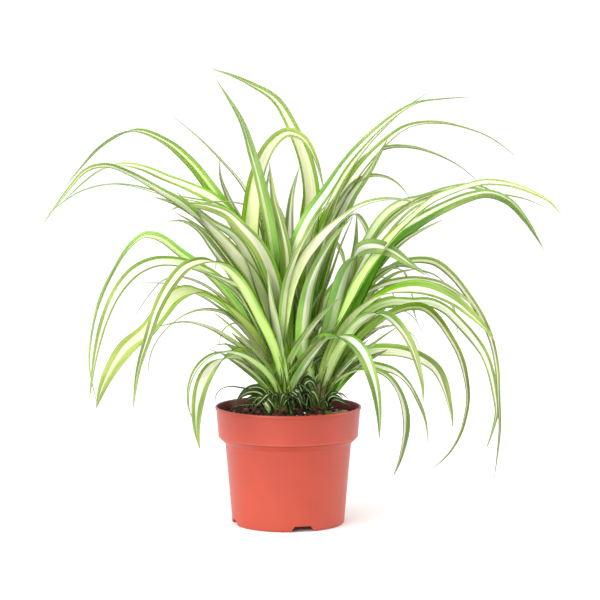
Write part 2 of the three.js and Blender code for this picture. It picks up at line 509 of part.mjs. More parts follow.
// A blade is a channel with sharp margins: every station has two margins and a midrib with two faces.
function makeBlade(leaf, plant) {
  const curve = midrib(leaf, plant)
  const length = curve.getLength()
  const wanted = Math.round(length / STATION_SPACING)
  const grown = THREE.MathUtils.clamp(wanted, LEAST_STATIONS, MOST_STATIONS)
  const stations = plant.young ? YOUNG_STATIONS : grown
  const broadest = leaf.broadest ?? USUAL_BROADEST
  const root = curve.getPointAt(0)
  const tip = curve.getPointAt(1)
  const light = new THREE.Vector3(0, -1, 0)
  // A leaf's upper face looks back over the crown where it leaves it.
  const face = new THREE.Vector3(root.x - tip.x, root.y - tip.y, 0).normalize()
  const positions = []
  for (let station = 0; station < stations; station += 1) {
    // The face is carried from station to station in small turns, always square to the midrib.
    for (let turn = 1; turn <= TURNS_PER_STATION; turn += 1) {
      const reached = Math.max(0, (station - 1 + turn / TURNS_PER_STATION) / stations)
      const direction = curve.getTangentAt(reached)
      face.addScaledVector(direction, -face.dot(direction)).normalize()
    }
    const along = station / stations
    const centre = curve.getPointAt(along)
    const tangent = curve.getTangentAt(along)
    const lit = light.clone().addScaledVector(tangent, -light.dot(tangent))
    const upper = face.clone().addScaledVector(lit, TURN_TO_LIGHT * face.dot(lit)).normalize()
    const sideways = new THREE.Vector3().crossVectors(tangent, upper).normalize()
    const half = leaf.breadth * breadthShare(along, broadest) / 2
    const thick = THREE.MathUtils.clamp(half * 0.3, LEAST_THICKNESS, MIDRIB_THICKNESS) / 2
    const out = half * Math.cos(FOLD_ANGLE)
    const raised = half * Math.sin(FOLD_ANGLE)
    const corners = [
      centre.clone().addScaledVector(sideways, -out).addScaledVector(upper, raised),
      centre.clone().addScaledVector(upper, thick),
      centre.clone().addScaledVector(sideways, out).addScaledVector(upper, raised),
      centre.clone().addScaledVector(upper, -thick),
    ]
    for (const corner of corners) positions.push(corner.x, corner.y, corner.z)
  }
  positions.push(tip.x, tip.y, tip.z)
  const index = [0, 2, 1, 0, 3, 2]
  for (let station = 0; station < stations - 1; station += 1) {
    const here = station * 4
    const next = here + 4
    // Left wing, upper then lower face, cut along the same diagonal, and then the right wing.
    index.push(here, next + 1, next, here, here + 1, next + 1)
    index.push(here, next, next + 3, here, next + 3, here + 3)
    index.push(here + 2, next + 1, here + 1, here + 2, next + 2, next + 1)
    index.push(here + 2, next + 3, next + 2, here + 2, here + 3, next + 3)
  }
  const last = (stations - 1) * 4
  const end = stations * 4
  index.push(last, last + 1, end, last + 1, last + 2, end, last + 2, last + 3, end, last + 3, last, end)
  const geometry = new THREE.BufferGeometry()
  geometry.setAttribute('position', new THREE.Float32BufferAttribute(positions, 3))
  geometry.setIndex(index)
  return toSolid(geometry)
}

function makePlant(name) {
  const plant = PLANTS[name]
  const solids = LEAVES[name].map((leaf) => makeBlade(leaf, plant))
  return joined([makeStock(plant), ...solids])
}

const plastic = () => new THREE.MeshStandardMaterial({ color: 0xdb6350, roughness: 0.42, metalness: 0 })
const earth = () => new THREE.MeshStandardMaterial({ color: 0x2e1a10, roughness: 0.95, metalness: 0 })
const leafGreen = () => new THREE.MeshStandardMaterial({ color: 0x8fb04a, roughness: 0.5, metalness: 0 })
const youngGreen = () => new THREE.MeshStandardMaterial({ color: 0x3f6a2c, roughness: 0.55, metalness: 0 })

const plantInPot = new THREE.Group()
function addPiece(name, solid, material) {
  const mesh = new THREE.Mesh(toGeometry(solid), material)
  mesh.name = name
  plantInPot.add(mesh)
}

addPiece('pot', makePot(), plastic())
addPiece('soil', makeSoil(), earth())
for (const name of Object.keys(PLANTS)) {
  addPiece(name, makePlant(name), PLANTS[name].young ? youngGreen() : leafGreen())
}

export default plantInPot
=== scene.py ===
import math
import random
from collections import namedtuple

import bpy
from mathutils import Matrix, Vector, noise


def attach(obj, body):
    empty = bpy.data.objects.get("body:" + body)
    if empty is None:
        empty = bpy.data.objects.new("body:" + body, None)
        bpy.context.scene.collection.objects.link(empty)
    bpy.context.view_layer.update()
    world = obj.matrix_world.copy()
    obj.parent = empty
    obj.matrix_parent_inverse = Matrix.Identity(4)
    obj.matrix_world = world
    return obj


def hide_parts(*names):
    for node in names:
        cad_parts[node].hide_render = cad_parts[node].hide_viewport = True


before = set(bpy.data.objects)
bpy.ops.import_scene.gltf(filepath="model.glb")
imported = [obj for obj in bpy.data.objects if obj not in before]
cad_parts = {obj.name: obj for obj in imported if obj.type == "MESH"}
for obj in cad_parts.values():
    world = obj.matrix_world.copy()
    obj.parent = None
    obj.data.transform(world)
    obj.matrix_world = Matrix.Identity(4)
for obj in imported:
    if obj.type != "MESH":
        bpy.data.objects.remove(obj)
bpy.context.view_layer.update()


# The stage: a camera in front of the plant and a little above its middle, a floor of white paper, and white
# air that is a little brighter at the left. Soft lights stand at the upper left and in front on the left, and
# a narrow one at the right draws the highlight down the pot's right side.
MM = 0.001
EYE_DISTANCE = 2000
EYE_HEIGHT = 385
MIDDLE_OF_VIEW = (9.67, 0, 184.3)
LENS = 147.3
SENSOR_WIDTH = 36
AIR_AT_LEFT = 1.3
AIR_AT_RIGHT = 1
MIDDLE_OF_PLANT = (0, 0, 180)
FLOOR_SIZE = 12

bpy.ops.object.select_all(action="DESELECT")
bpy.ops.object.camera_add(location=(0, -EYE_DISTANCE * MM, EYE_HEIGHT * MM))
camera = bpy.context.object
line_of_sight = Vector(MIDDLE_OF_VIEW) * MM - camera.location
camera.rotation_euler = line_of_sight.to_track_quat("-Z", "Y").to_euler()
camera.data.lens = LENS
camera.data.sensor_width = SENSOR_WIDTH
camera.data.clip_end = 50
bpy.context.scene.camera = camera
bpy.context.scene.view_settings.view_transform = "Standard"

air = bpy.data.worlds.new("white_air")
air.use_nodes = True
glow = air.node_tree.nodes["Background"]
direction = air.node_tree.nodes.new("ShaderNodeTexCoord")
rightwards = air.node_tree.nodes.new("ShaderNodeSeparateXYZ")
brightness = air.node_tree.nodes.new("ShaderNodeMapRange")
brightness.inputs["From Min"].default_value = -1
brightness.inputs["To Min"].default_value = AIR_AT_LEFT
brightness.inputs["To Max"].default_value = AIR_AT_RIGHT
air.node_tree.links.new(direction.outputs["Generated"], rightwards.inputs[0])
air.node_tree.links.new(rightwards.outputs["X"], brightness.inputs["Value"])
air.node_tree.links.new(brightness.outputs[0], glow.inputs["Strength"])
glow.inputs["Color"].default_value = (1, 1, 1, 1)
bpy.context.scene.world = air


def soft_light(name, place, width, height, watts):
    bpy.ops.object.light_add(type="AREA", location=place)
    light = bpy.context.object
    light.name = name
    light.data.shape = "RECTANGLE"
    light.data.size = width
    light.data.size_y = height
    light.data.energy = watts
    beam = Vector(MIDDLE_OF_PLANT) * MM - light.location
    light.rotation_euler = beam.to_track_quat("-Z", "Y").to_euler()


soft_light("window_light", (-1.9, -1.3, 1.7), 1.1, 1.1, 35)
soft_light("front_light", (-1.2, -2.1, 0.75), 1.4, 1.2, 36)
soft_light("strip_light", (1.6, 0.25, 0.4), 0.25, 1.2, 14)

bpy.ops.mesh.primitive_plane_add(size=FLOOR_SIZE, location=(0, 0, 0))
floor = bpy.context.object
floor.name = "floor"
white_paper = bpy.data.materials.new("white_paper")
white_paper.use_nodes = True
paper = white_paper.node_tree.nodes["Principled BSDF"]
paper.inputs["Base Color"].default_value = (0.98, 0.98, 0.98, 1)
paper.inputs["Roughness"].default_value = 0.9
paper.inputs["Specular IOR Level"].default_value = 0.1
floor.data.materials.append(white_paper)


# The pot: a 12 cm nursery pot, injection-moulded in one shot of terracotta-red plastic.
# A tapered wall widens at a sharp shoulder into a deep collar with a rounded lip. The wall runs on below
# the floor as a foot ring, which four drainage notches cut, and the floor has four drain holes.
RIM_RADIUS = 60
POT_HEIGHT = 97
COLLAR_HEIGHT = 25
COLLAR_FOOT_RADIUS = 57.5
BODY_TOP_RADIUS = 51.9
BASE_RADIUS = 46.3
SHOULDER_HEIGHT = 5
WALL = 1.3
SHOULDER_EXTRA_WALL = 0.2
COLLAR_EXTRA_WALL = 0.4
FLOOR_UNDERSIDE = 5
FLOOR_TOP = FLOOR_UNDERSIDE + WALL
FOOT_RING_WIDTH = 5
FOOT_BEND = 2.2
EDGE_BEND = 0.7
LIP_BEND = 0.65
LIP_DROP = 2.4
INNER_LIP_BEND = 0.4
SHOULDER_TOP = POT_HEIGHT - COLLAR_HEIGHT
SHOULDER_FOOT = SHOULDER_TOP - SHOULDER_HEIGHT
AXIS_RADIUS = 0.4
POT_SIDES = 160
CUTS = 4
NOTCH_WIDTH_AT_FOOT = 21.5
NOTCH_WIDTH_AT_TOP = 13.8
NOTCH_HEIGHT = 4.8
NOTCH_REACH = 12
FIRST_NOTCH_ANGLE = -75
HOLE_RADIUS = 5
HOLE_SIDES = 40
HOLE_RING_RADIUS = 24
FIRST_HOLE_ANGLE = 45
# How far down the lip's inside the painted shade reaches, in mm.
INNER_SHADE_HEIGHT = 12
SMOOTH_UP_TO = 32


def srgb(red, green, blue):
    """A colour as the eye names it, 0 to 255, in the linear form that a shader takes."""
    def linear(value):
        share = value / 255
        return share / 12.92 if share <= 0.04045 else ((share + 0.055) / 1.055) ** 2.4
    return (linear(red), linear(green), linear(blue), 1)


def lerp(low, high, share):
    return low + (high - low) * share


def smoothstep(value, low, high):
    share = min(1, max(0, (value - low) / (high - low)))
    return share * share * (3 - 2 * share)


def start_fresh():
    if bpy.context.object and bpy.context.object.mode != "OBJECT":
        bpy.ops.object.mode_set(mode="OBJECT")
    bpy.ops.object.select_all(action="DESELECT")


def pick_up(*pieces):
    """Selects these pieces alone. The first is the one that modifiers and joins work on."""
    start_fresh()
    for piece in pieces:
        piece.select_set(True)
    bpy.context.view_layer.objects.active = pieces[0]


def settle(piece, name, material):
    """Names a finished piece and puts its place into its mesh, so that its object lies at the origin."""
    pick_up(piece)
    bpy.ops.object.transform_apply(location=True, rotation=True, scale=True)
    piece.name = name
    piece.data.name = name
    piece.data.materials.clear()
    piece.data.materials.append(material)
    bpy.ops.object.shade_smooth_by_angle(angle=math.radians(SMOOTH_UP_TO))


def turned(name, profile, sides, centre=(0, 0)):
    """A round piece drawn up ring by ring, as on a lathe: profile is a list of (radius, height) in mm.

    It starts and ends near the axis, with a small filled ring."""
    start_fresh()
    radius, height = profile[0]
    place = (centre[0] * MM, centre[1] * MM, height * MM)
    bpy.ops.mesh.primitive_circle_add(vertices=sides, radius=radius * MM, location=place, fill_type="NGON")
    piece = bpy.context.object
    bpy.ops.object.mode_set(mode="EDIT")
    bpy.ops.mesh.select_all(action="SELECT")
    for next_radius, next_height in profile[1:]:
        bpy.ops.mesh.extrude_region_move(
            TRANSFORM_OT_translate={"value": (0, 0, (next_height - height) * MM)})
        scale = next_radius / radius
        middle = (centre[0] * MM, centre[1] * MM, next_height * MM)
        bpy.ops.transform.resize(value=(scale, scale, 1), center_override=middle)
        radius, height = next_radius, next_height
    bpy.ops.mesh.select_all(action="SELECT")
    bpy.ops.mesh.normals_make_consistent(inside=False)
    bpy.ops.object.mode_set(mode="OBJECT")
    piece.name = name
    return piece


def rounded(corner_radius, corner_height, start, end, bend, steps=4):
    """Points on a bend of a profile, from angle start to end in degrees."""
    points = []
    for step in range(steps + 1):
        angle = math.radians(lerp(start, end, step / steps))
        points.append((corner_radius + bend * math.cos(angle), corner_height + bend * math.sin(angle)))
    return points


def inner_radius(height):
    """The pot's inside follows its outside a wall's thickness in, and more at shoulder and collar."""
    if height >= SHOULDER_TOP:
        share = (height - SHOULDER_TOP) / COLLAR_HEIGHT
        return lerp(COLLAR_FOOT_RADIUS, RIM_RADIUS, share) - WALL - COLLAR_EXTRA_WALL
    if height >= SHOULDER_FOOT:
        share = (height - SHOULDER_FOOT) / SHOULDER_HEIGHT
        return lerp(BODY_TOP_RADIUS, COLLAR_FOOT_RADIUS, share) - WALL - SHOULDER_EXTRA_WALL
    return lerp(BASE_RADIUS, BODY_TOP_RADIUS, height / SHOULDER_FOOT) - WALL


def pot_profile():
    """From the axis under the floor, round the foot ring, up the outside, over the lip and back in."""
    inside_foot = BASE_RADIUS - FOOT_RING_WIDTH
    lip_foot = POT_HEIGHT - LIP_DROP
    profile = [
        (AXIS_RADIUS, FLOOR_UNDERSIDE), (inside_foot - 1, FLOOR_UNDERSIDE),
        (inside_foot - 0.3, FLOOR_UNDERSIDE - 0.7), (inside_foot, 0.5), (inside_foot + 0.5, 0),
        *rounded(BASE_RADIUS - FOOT_BEND, FOOT_BEND, -90, 0, FOOT_BEND, 6),
        (BODY_TOP_RADIUS - 0.1, SHOULDER_FOOT - 1.2), (BODY_TOP_RADIUS + 0.1, SHOULDER_FOOT - 0.3),
        (BODY_TOP_RADIUS + 0.6, SHOULDER_FOOT + 0.2),
        *rounded(COLLAR_FOOT_RADIUS - EDGE_BEND, SHOULDER_TOP + 0.4, -50, 0, EDGE_BEND),
        (RIM_RADIUS - 0.75, lip_foot - 0.5), (RIM_RADIUS - 0.65, lip_foot),
        (RIM_RADIUS - 0.1, lip_foot + 0.3),
        *rounded(RIM_RADIUS - LIP_BEND, POT_HEIGHT - LIP_BEND, 0, 90, LIP_BEND, 6),
        *rounded(RIM_RADIUS - WALL, POT_HEIGHT - INNER_LIP_BEND, 90, 170, INNER_LIP_BEND)]
    heights = (POT_HEIGHT - 2, SHOULDER_TOP + 1, SHOULDER_FOOT, FLOOR_TOP + 3)
    profile += [(inner_radius(height), height) for height in heights]
    profile += [(inner_radius(FLOOR_TOP) - 2.5, FLOOR_TOP), (AXIS_RADIUS, FLOOR_TOP)]
    return profile


def cut(piece, cutter):
    """Takes the cutter away from the piece, and removes the cutter."""
    pick_up(piece)
    taken = piece.modifiers.new("taken", "BOOLEAN")
    taken.operation = "DIFFERENCE"
    taken.object = cutter
    taken.solver = "EXACT"
    bpy.ops.object.modifier_apply(modifier=taken.name)
    bpy.data.objects.remove(cutter)


def foot_notch(angle):
    """A block that stands across the foot ring and is wider at the ground."""
    start_fresh()
    bpy.ops.mesh.primitive_cube_add(size=1)
    block = bpy.context.object
    block.scale = (NOTCH_WIDTH_AT_FOOT * MM, NOTCH_REACH * MM, (NOTCH_HEIGHT + 1) * MM)
    block.location = (0, (BASE_RADIUS - 2) * MM, (NOTCH_HEIGHT - 1) / 2 * MM)
    bpy.ops.object.transform_apply(location=True, rotation=True, scale=True)
    bpy.ops.object.mode_set(mode="EDIT")
    bpy.ops.mesh.select_mode(type="VERT")
    bpy.ops.mesh.select_all(action="DESELECT")
    bpy.ops.object.mode_set(mode="OBJECT")
    for vertex in block.data.vertices:
        vertex.select = vertex.co.z > NOTCH_HEIGHT / 2 * MM
    bpy.ops.object.mode_set(mode="EDIT")
    narrower = NOTCH_WIDTH_AT_TOP / NOTCH_WIDTH_AT_FOOT
    bpy.ops.transform.resize(value=(narrower, 1, 1), center_override=(0, 0, 0))
    bpy.ops.object.mode_set(mode="OBJECT")
    block.matrix_world = Matrix.Rotation(math.radians(angle - 90), 4, "Z")
    return block


class Finish:
    """A material and its plain values, with short ways to add nodes to it and to join them."""

    def __init__(self, name, plain_values=None):
        self.material = bpy.data.materials.new(name)
        self.material.use_nodes = True
        self.tree = self.material.node_tree
        self.surface = self.tree.nodes["Principled BSDF"]
        for socket, value in (plain_values or {}).items():
            self.surface.inputs[socket].default_value = value

    def put(self, value, socket):
        """Joins another node's output to the socket, or sets a plain value there."""
        if isinstance(value, bpy.types.NodeSocket):
            self.tree.links.new(value, socket)
        else:
            socket.default_value = value

    def add(self, kind, *inputs, **settings):
        node = self.tree.nodes.new("ShaderNode" + kind)
        for setting, value in settings.items():
            setattr(node, setting, value)
        for value, socket in zip(inputs, node.inputs):
            self.put(value, socket)
        return node

    def maths(self, operation, *values):
        return self.add("Math", *values, operation=operation).outputs[0]

    def between(self, value, low, high, low_gives=0.0, high_gives=1.0, easing="SMOOTHSTEP"):
        """low_gives up to low, high_gives from high on, and a ramp between them."""
        ramp = self.add("MapRange", value, low, high, low_gives, high_gives, interpolation_type=easing)
        return ramp.outputs[0]

    def mixed(self, share, first, second, way="MIX"):
        node = self.add("Mix", data_type="RGBA", blend_type=way)
        self.put(share, node.inputs[0])
        self.put(first, node.inputs[6])
        self.put(second, node.inputs[7])
        return node.outputs[2]

    def shades(self, value, stops, easing="LINEAR"):
        """A scale of colours: stops is a list of (position, colour). Alpha can carry a fourth value."""
        node = self.add("ValToRGB", value)
        ramp = node.color_ramp
        ramp.interpolation = easing
        for stop, (position, colour) in zip(ramp.elements, (stops[0], stops[-1])):
            stop.position = position
            stop.color = colour
        for position, colour in stops[1:-1]:
            ramp.elements.new(position).color = colour
        return node

    def mottle(self, place, scale, detail):
        node = self.add("TexNoise", place)
        node.inputs["Scale"].default_value = scale
        node.inputs["Detail"].default_value = detail
        return node.outputs["Fac"]

    def relief(self, height, strength, depth):
        """A fine relief in the skin, up to depth in mm."""
        node = self.add("Bump")
        node.inputs["Strength"].default_value = strength
        node.inputs["Distance"].default_value = depth * MM
        self.put(height, node.inputs["Height"])
        self.put(node.outputs["Normal"], self.surface.inputs["Normal"])


def pot_plastic():
    """Terracotta-red plastic with a satin skin, slightly mottled by the moulding.

    Its colour darkens a little up the pot. The slope under the collar is painted a shade lighter, as painted
    light, and the collar's sharp foot has a painted highlight along its edge over a painted shadow line. The
    lip's inside is painted dark maroon as painted shade."""
    kit = Finish("pot_plastic")
    place = kit.add("TexCoord").outputs["Object"]
    height = kit.add("SeparateXYZ", place).outputs["Z"]
    # Colour up the pot: it darkens a little towards the top. The lighter stop at the shoulder's foot is
    # painted light on the downward-facing slope. At the collar's foot the dark stop is a painted shadow under
    # the edge, and the light stop above it is a painted highlight along the edge.
    shades_and_painted_edge_light = (
        (0, (172, 63, 41)), (40, (167, 56, 33)), (SHOULDER_FOOT - 1.5, (162, 52, 30)),
        (SHOULDER_FOOT, (168, 57, 34)), (SHOULDER_TOP - 1.2, (165, 55, 32)),
        (SHOULDER_TOP - 0.5, (120, 33, 16)), (SHOULDER_TOP + 0.1, (144, 43, 23)),
        (SHOULDER_TOP + 0.5, (188, 76, 49)), (SHOULDER_TOP + 1.2, (165, 55, 33)),
        (POT_HEIGHT, (152, 46, 25)))
    stops = [(up / POT_HEIGHT, srgb(*shade)) for up, shade in shades_and_painted_edge_light]
    up_the_pot = kit.between(height, 0, POT_HEIGHT * MM, easing="LINEAR")
    mottle = kit.mottle(place, 55, 6)
    moulded = kit.between(mottle, 0.3, 0.7, 0.9, 1, "LINEAR")
    colour = kit.mixed(1, kit.shades(up_the_pot, stops).outputs["Color"], moulded, "MULTIPLY")

    # The collar's outside is a cone. What lies further in than its wall, near the top, is the inside of the
    # lip, painted dark maroon as painted shade.
    from_axis = kit.add("VectorMath", place, (1, 1, 0), operation="MULTIPLY").outputs[0]
    from_axis = kit.add("VectorMath", from_axis, operation="LENGTH").outputs["Value"]
    narrowing = (COLLAR_FOOT_RADIUS - RIM_RADIUS) / COLLAR_HEIGHT
    cone = kit.maths("MULTIPLY_ADD", height, narrowing, from_axis)
    cone_radius = COLLAR_FOOT_RADIUS + SHOULDER_TOP * narrowing
    inside = kit.between(cone, (cone_radius - 0.8) * MM, (cone_radius - 1.2) * MM, easing="LINEAR")
    inner_shade_foot = POT_HEIGHT - INNER_SHADE_HEIGHT
    above_soil = kit.between(height, inner_shade_foot * MM, (inner_shade_foot + 3) * MM, easing="LINEAR")
    colour = kit.mixed(kit.maths("MULTIPLY", inside, above_soil), colour, srgb(112, 22, 18))
    kit.put(colour, kit.surface.inputs["Base Color"])
    kit.put(kit.between(mottle, 0, 1, 0.34, 0.5, "LINEAR"), kit.surface.inputs["Roughness"])
    kit.relief(kit.mottle(place, 900, 3), 0.12, 0.2)
    return kit.material


pot = turned("pot", pot_profile(), POT_SIDES)
for quarter in range(CUTS):
    cut(pot, foot_notch(FIRST_NOTCH_ANGLE + quarter * 360 / CUTS))
    start_fresh()
    hole_angle = math.radians(FIRST_HOLE_ANGLE + quarter * 360 / CUTS)
    hole_x = HOLE_RING_RADIUS * MM * math.cos(hole_angle)
    hole_y = HOLE_RING_RADIUS * MM * math.sin(hole_angle)
    bpy.ops.mesh.primitive_cylinder_add(vertices=HOLE_SIDES, radius=HOLE_RADIUS * MM, depth=10 * MM,
                                        location=(hole_x, hole_y, FLOOR_UNDERSIDE * MM))
    cut(pot, bpy.context.object)
settle(pot, "nursery_pot", pot_plastic())
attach(pot, "root")
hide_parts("pot")


# The soil: dark peat-based potting soil, pressed in by hand up to 8 mm under the lip.
# Bits of bark and coarse peat lie loose on it, with a few grains of perlite and one dried leaf scrap.
SOIL_LEVEL = 89.5
SOIL_REACH = 55.5
CLEARANCE = 0.3
SOIL_SIDES = 120
SOIL_RINGS = 44
MOUND_HEIGHT = 3.5
MOUND_RADIUS = 34
CLOD_HEIGHT = 1.7
ANY_TURN = 6.3
SCRAP_PLACE = (40.5, -9)
SCRAP_HALF_LENGTH = 8.5
SCRAP_THICKNESS = 0.35


def soil_height(x, y):
    mound = MOUND_HEIGHT * math.exp(-(x * x + y * y) / MOUND_RADIUS ** 2)
    ripple = 0.5 * math.sin(x * 0.31 + 1.2) * math.cos(y * 0.27) + 0.4 * math.sin(x * 0.17 - y * 0.36 + 0.5)
    return SOIL_LEVEL + mound + ripple


def crumbly(name, stops, scale, roughness=0.9, detail=6, strength=0.5, depth=0.4, shine=0.5):
    """A dull natural stuff whose colour wanders between shades, with a relief up to depth in mm."""
    kit = Finish(name, {"Roughness": roughness, "Specular IOR Level": shine})
    lumps = kit.mottle(kit.add("TexCoord").outputs["Object"], scale, detail)
    kit.put(kit.shades(lumps, stops).outputs["Color"], kit.surface.inputs["Base Color"])
    kit.relief(lumps, strength, depth)
    return kit.material


def soil_profile():
    """From the axis up the pot's inside to the soil's level, then in rings back to the axis."""
    underside = FLOOR_TOP + CLEARANCE
    profile = [(AXIS_RADIUS, underside), (inner_radius(FLOOR_TOP + 2) - 2.5, underside)]
    for height in (FLOOR_TOP + 3, SHOULDER_FOOT, SHOULDER_TOP + 1, SOIL_LEVEL - 1):
        profile.append((inner_radius(height) - CLEARANCE, height))
    top_radius = inner_radius(SOIL_LEVEL) - CLEARANCE
    for ring in range(SOIL_RINGS):
        profile.append((max(AXIS_RADIUS, top_radius * (1 - ring / (SOIL_RINGS - 1))), SOIL_LEVEL))
    return profile


soil = turned("soil", soil_profile(), SOIL_SIDES)
for vertex in soil.data.vertices:
    if vertex.co.z > (SOIL_LEVEL - 0.5) * MM:
        x, y = vertex.co.x / MM, vertex.co.y / MM
        clods = noise.fractal(Vector((x, y, 0)) * 0.13, 1.0, 2.0, 4)
        inwards = 1 - smoothstep(math.hypot(x, y), 52, 57)
        vertex.co.z = (soil_height(x, y) + CLOD_HEIGHT * clods * lerp(0.35, 1, inwards)) * MM
peat_shades = ((0.32, srgb(30, 15, 9)), (0.52, srgb(58, 32, 21)), (0.72, srgb(104, 62, 42)))
settle(soil, "soil_fill", crumbly("potting_soil", peat_shades, 230, 0.92, 8, 0.8, 1.2, 0.25))
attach(soil, "root")
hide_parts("soil")

crumb_draw = random.Random(12)


def on_soil():
    """A place on the soil's surface, spread evenly over the whole round."""
    distance = SOIL_REACH * math.sqrt(crumb_draw.random())
    angle = crumb_draw.uniform(0, 2 * math.pi)
    x, y = distance * math.cos(angle), distance * math.sin(angle)
    return Vector((x, y, soil_height(x, y)))


def crumb_shape(name, stretch, roughness):
    """One crumb, modelled once: a ball of a few dozen faces, knocked out of round."""
    start_fresh()
    bpy.ops.mesh.primitive_ico_sphere_add(subdivisions=2, radius=1)
    crumb = bpy.context.object
    crumb.name = name
    shift = Vector((crumb_draw.uniform(0, 50), 0, 0))
    for vertex in crumb.data.vertices:
        bulge = 1 + roughness * noise.noise(vertex.co * 1.3 + shift)
        vertex.co = Vector([side * reach for side, reach in zip(vertex.co, stretch)]) * bulge
    return crumb


def scattered(name, shapes, count, sizes, sink, material, tilt=0.5):
    """Copies of the shapes, turned every way and half sunk in the soil, joined as one piece."""
    copies = []
    for number in range(count):
        model = shapes[number % len(shapes)]
        copy = model.copy()
        copy.data = model.data.copy()
        bpy.context.collection.objects.link(copy)
        size = crumb_draw.uniform(*sizes)
        turn = Matrix.Rotation(crumb_draw.uniform(0, ANY_TURN), 4, "Z")
        turn = turn @ Matrix.Rotation(crumb_draw.gauss(0, tilt), 4, "X")
        turn = turn @ Matrix.Rotation(crumb_draw.gauss(0, tilt), 4, "Y")
        spot = on_soil() + Vector((0, 0, size * sink))
        copy.data.transform(Matrix.Translation(spot * MM) @ turn @ Matrix.Scale(size * MM, 4))
        copies.append(copy)
    for shape in shapes:
        bpy.data.objects.remove(shape)
    pick_up(*copies)
    bpy.ops.object.join()
    piece = bpy.context.object
    settle(piece, name, material)
    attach(piece, "root")


def two_shades(low, high):
    return ((0.35, srgb(*low)), (0.68, srgb(*high)))


peat_shapes = [crumb_shape(f"peat_{kind}", (1, lerp(0.7, 1, kind / 3), 0.75), 0.9) for kind in range(4)]
scattered("peat_crumbs", peat_shapes, 620, (0.7, 1.9), 0.2,
          crumbly("peat", two_shades((34, 17, 10), (92, 52, 34)), 140))
bark_shapes = [crumb_shape(f"bark_{kind}", (1.5, 0.75, 0.32), 0.7) for kind in range(3)]
scattered("bark_bits", bark_shapes, 70, (1.2, 2.9), 0.35,
          crumbly("bark", two_shades((70, 34, 20), (150, 92, 62)), 300, 0.85), tilt=0.35)
perlite_shapes = [crumb_shape(f"perlite_{kind}", (1, 0.85, 0.8), 0.8) for kind in range(2)]
scattered("perlite_grains", perlite_shapes, 16, (0.5, 1.1), 0.4,
          crumbly("perlite", two_shades((214, 206, 190), (240, 236, 226)), 400, 0.8))

start_fresh()
bpy.ops.mesh.primitive_grid_add(x_subdivisions=14, y_subdivisions=6, size=2)
scrap = bpy.context.object
for vertex in scrap.data.vertices:
    lengthways, sideways = vertex.co.x, vertex.co.y
    narrowing = 1 - 0.75 * abs(lengthways) ** 2.5
    curl = 1.5 * sideways + 0.25 * math.sin(4 * lengthways)
    rise = 2.0 * (1 - math.cos(curl)) * narrowing + 1.3 * lengthways * lengthways
    vertex.co = Vector((SCRAP_HALF_LENGTH * lengthways, 2.4 * math.sin(curl) * narrowing, rise)) * MM
scrap.rotation_euler = (math.radians(12), math.radians(-8), math.radians(14))
scrap.location = Vector((*SCRAP_PLACE, soil_height(*SCRAP_PLACE) + 1.6)) * MM
paper_thin = scrap.modifiers.new("paper_thin", "SOLIDIFY")
paper_thin.thickness = SCRAP_THICKNESS * MM
bpy.ops.object.modifier_apply(modifier=paper_thin.name)
settle(scrap, "dried_leaf_scrap", crumbly("dried_leaf", two_shades((64, 36, 14), (186, 146, 104)), 260, 0.8))
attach(scrap, "root")


# The left rosette: a full-grown spider plant whose crown shows at the pot's middle.
# Its leaves are grass-like channels of one soft blade, folded along the midrib, with a fine tip. They clasp
# each other at the stock, a short thick stem in the soil. The blade's middle is cream where it has no green.
FOLD_AT_BASE = 34
FOLD = 24
BASE_SHARE = 0.8
TAPER = 1.6
TURN_TO_LIGHT = 2.0
MOST_LEAN = 6
SWAY = 5
WAVE_SHARE = 0.05
WAVE_LENGTH = 9
CREASE_ROUNDING = 0.05
TIP_HALF_BREADTH = 0.14
ROOT_OVER_SOIL = 0.5
DEPTH_SHARE_OF_RISE = 0.15
STEPS_BETWEEN_POINTS = 14
FEWEST_STATIONS = 14
MOST_STATIONS = 84
STOCK_DEPTH = 26
ACROSS_MARGIN = 0.02
ALONG_MARGIN = 0.002

# The looks of a leaf: the green of its margins, the colour along its middle and how broad that middle is.
FRESH, BRIGHT, MEADOW, GREY, SILVER, OLIVE, PALE, CREAM, DEEP, LIME, YOUNG, DRY = range(12)
LOOKS = {
    FRESH: ((102, 158, 6), (209, 206, 181), 0.44),
    BRIGHT: ((76, 152, 6), (220, 217, 204), 0.46),
    MEADOW: ((106, 158, 8), (198, 208, 158), 0.56),
    GREY: ((98, 136, 42), (208, 210, 198), 0.56),
    SILVER: ((88, 134, 28), (226, 226, 216), 0.50),
    OLIVE: ((70, 96, 16), (198, 194, 172), 0.40),
    PALE: ((108, 166, 8), (194, 206, 152), 0.64),
    CREAM: ((104, 160, 8), (207, 204, 170), 0.68),
    DEEP: ((70, 136, 4), (210, 214, 184), 0.32),
    LIME: ((104, 162, 4), (184, 200, 116), 0.26),
    YOUNG: ((24, 46, 12), (176, 194, 160), 0.13),
    DRY: ((112, 96, 58), (150, 138, 96), 0.50),
}


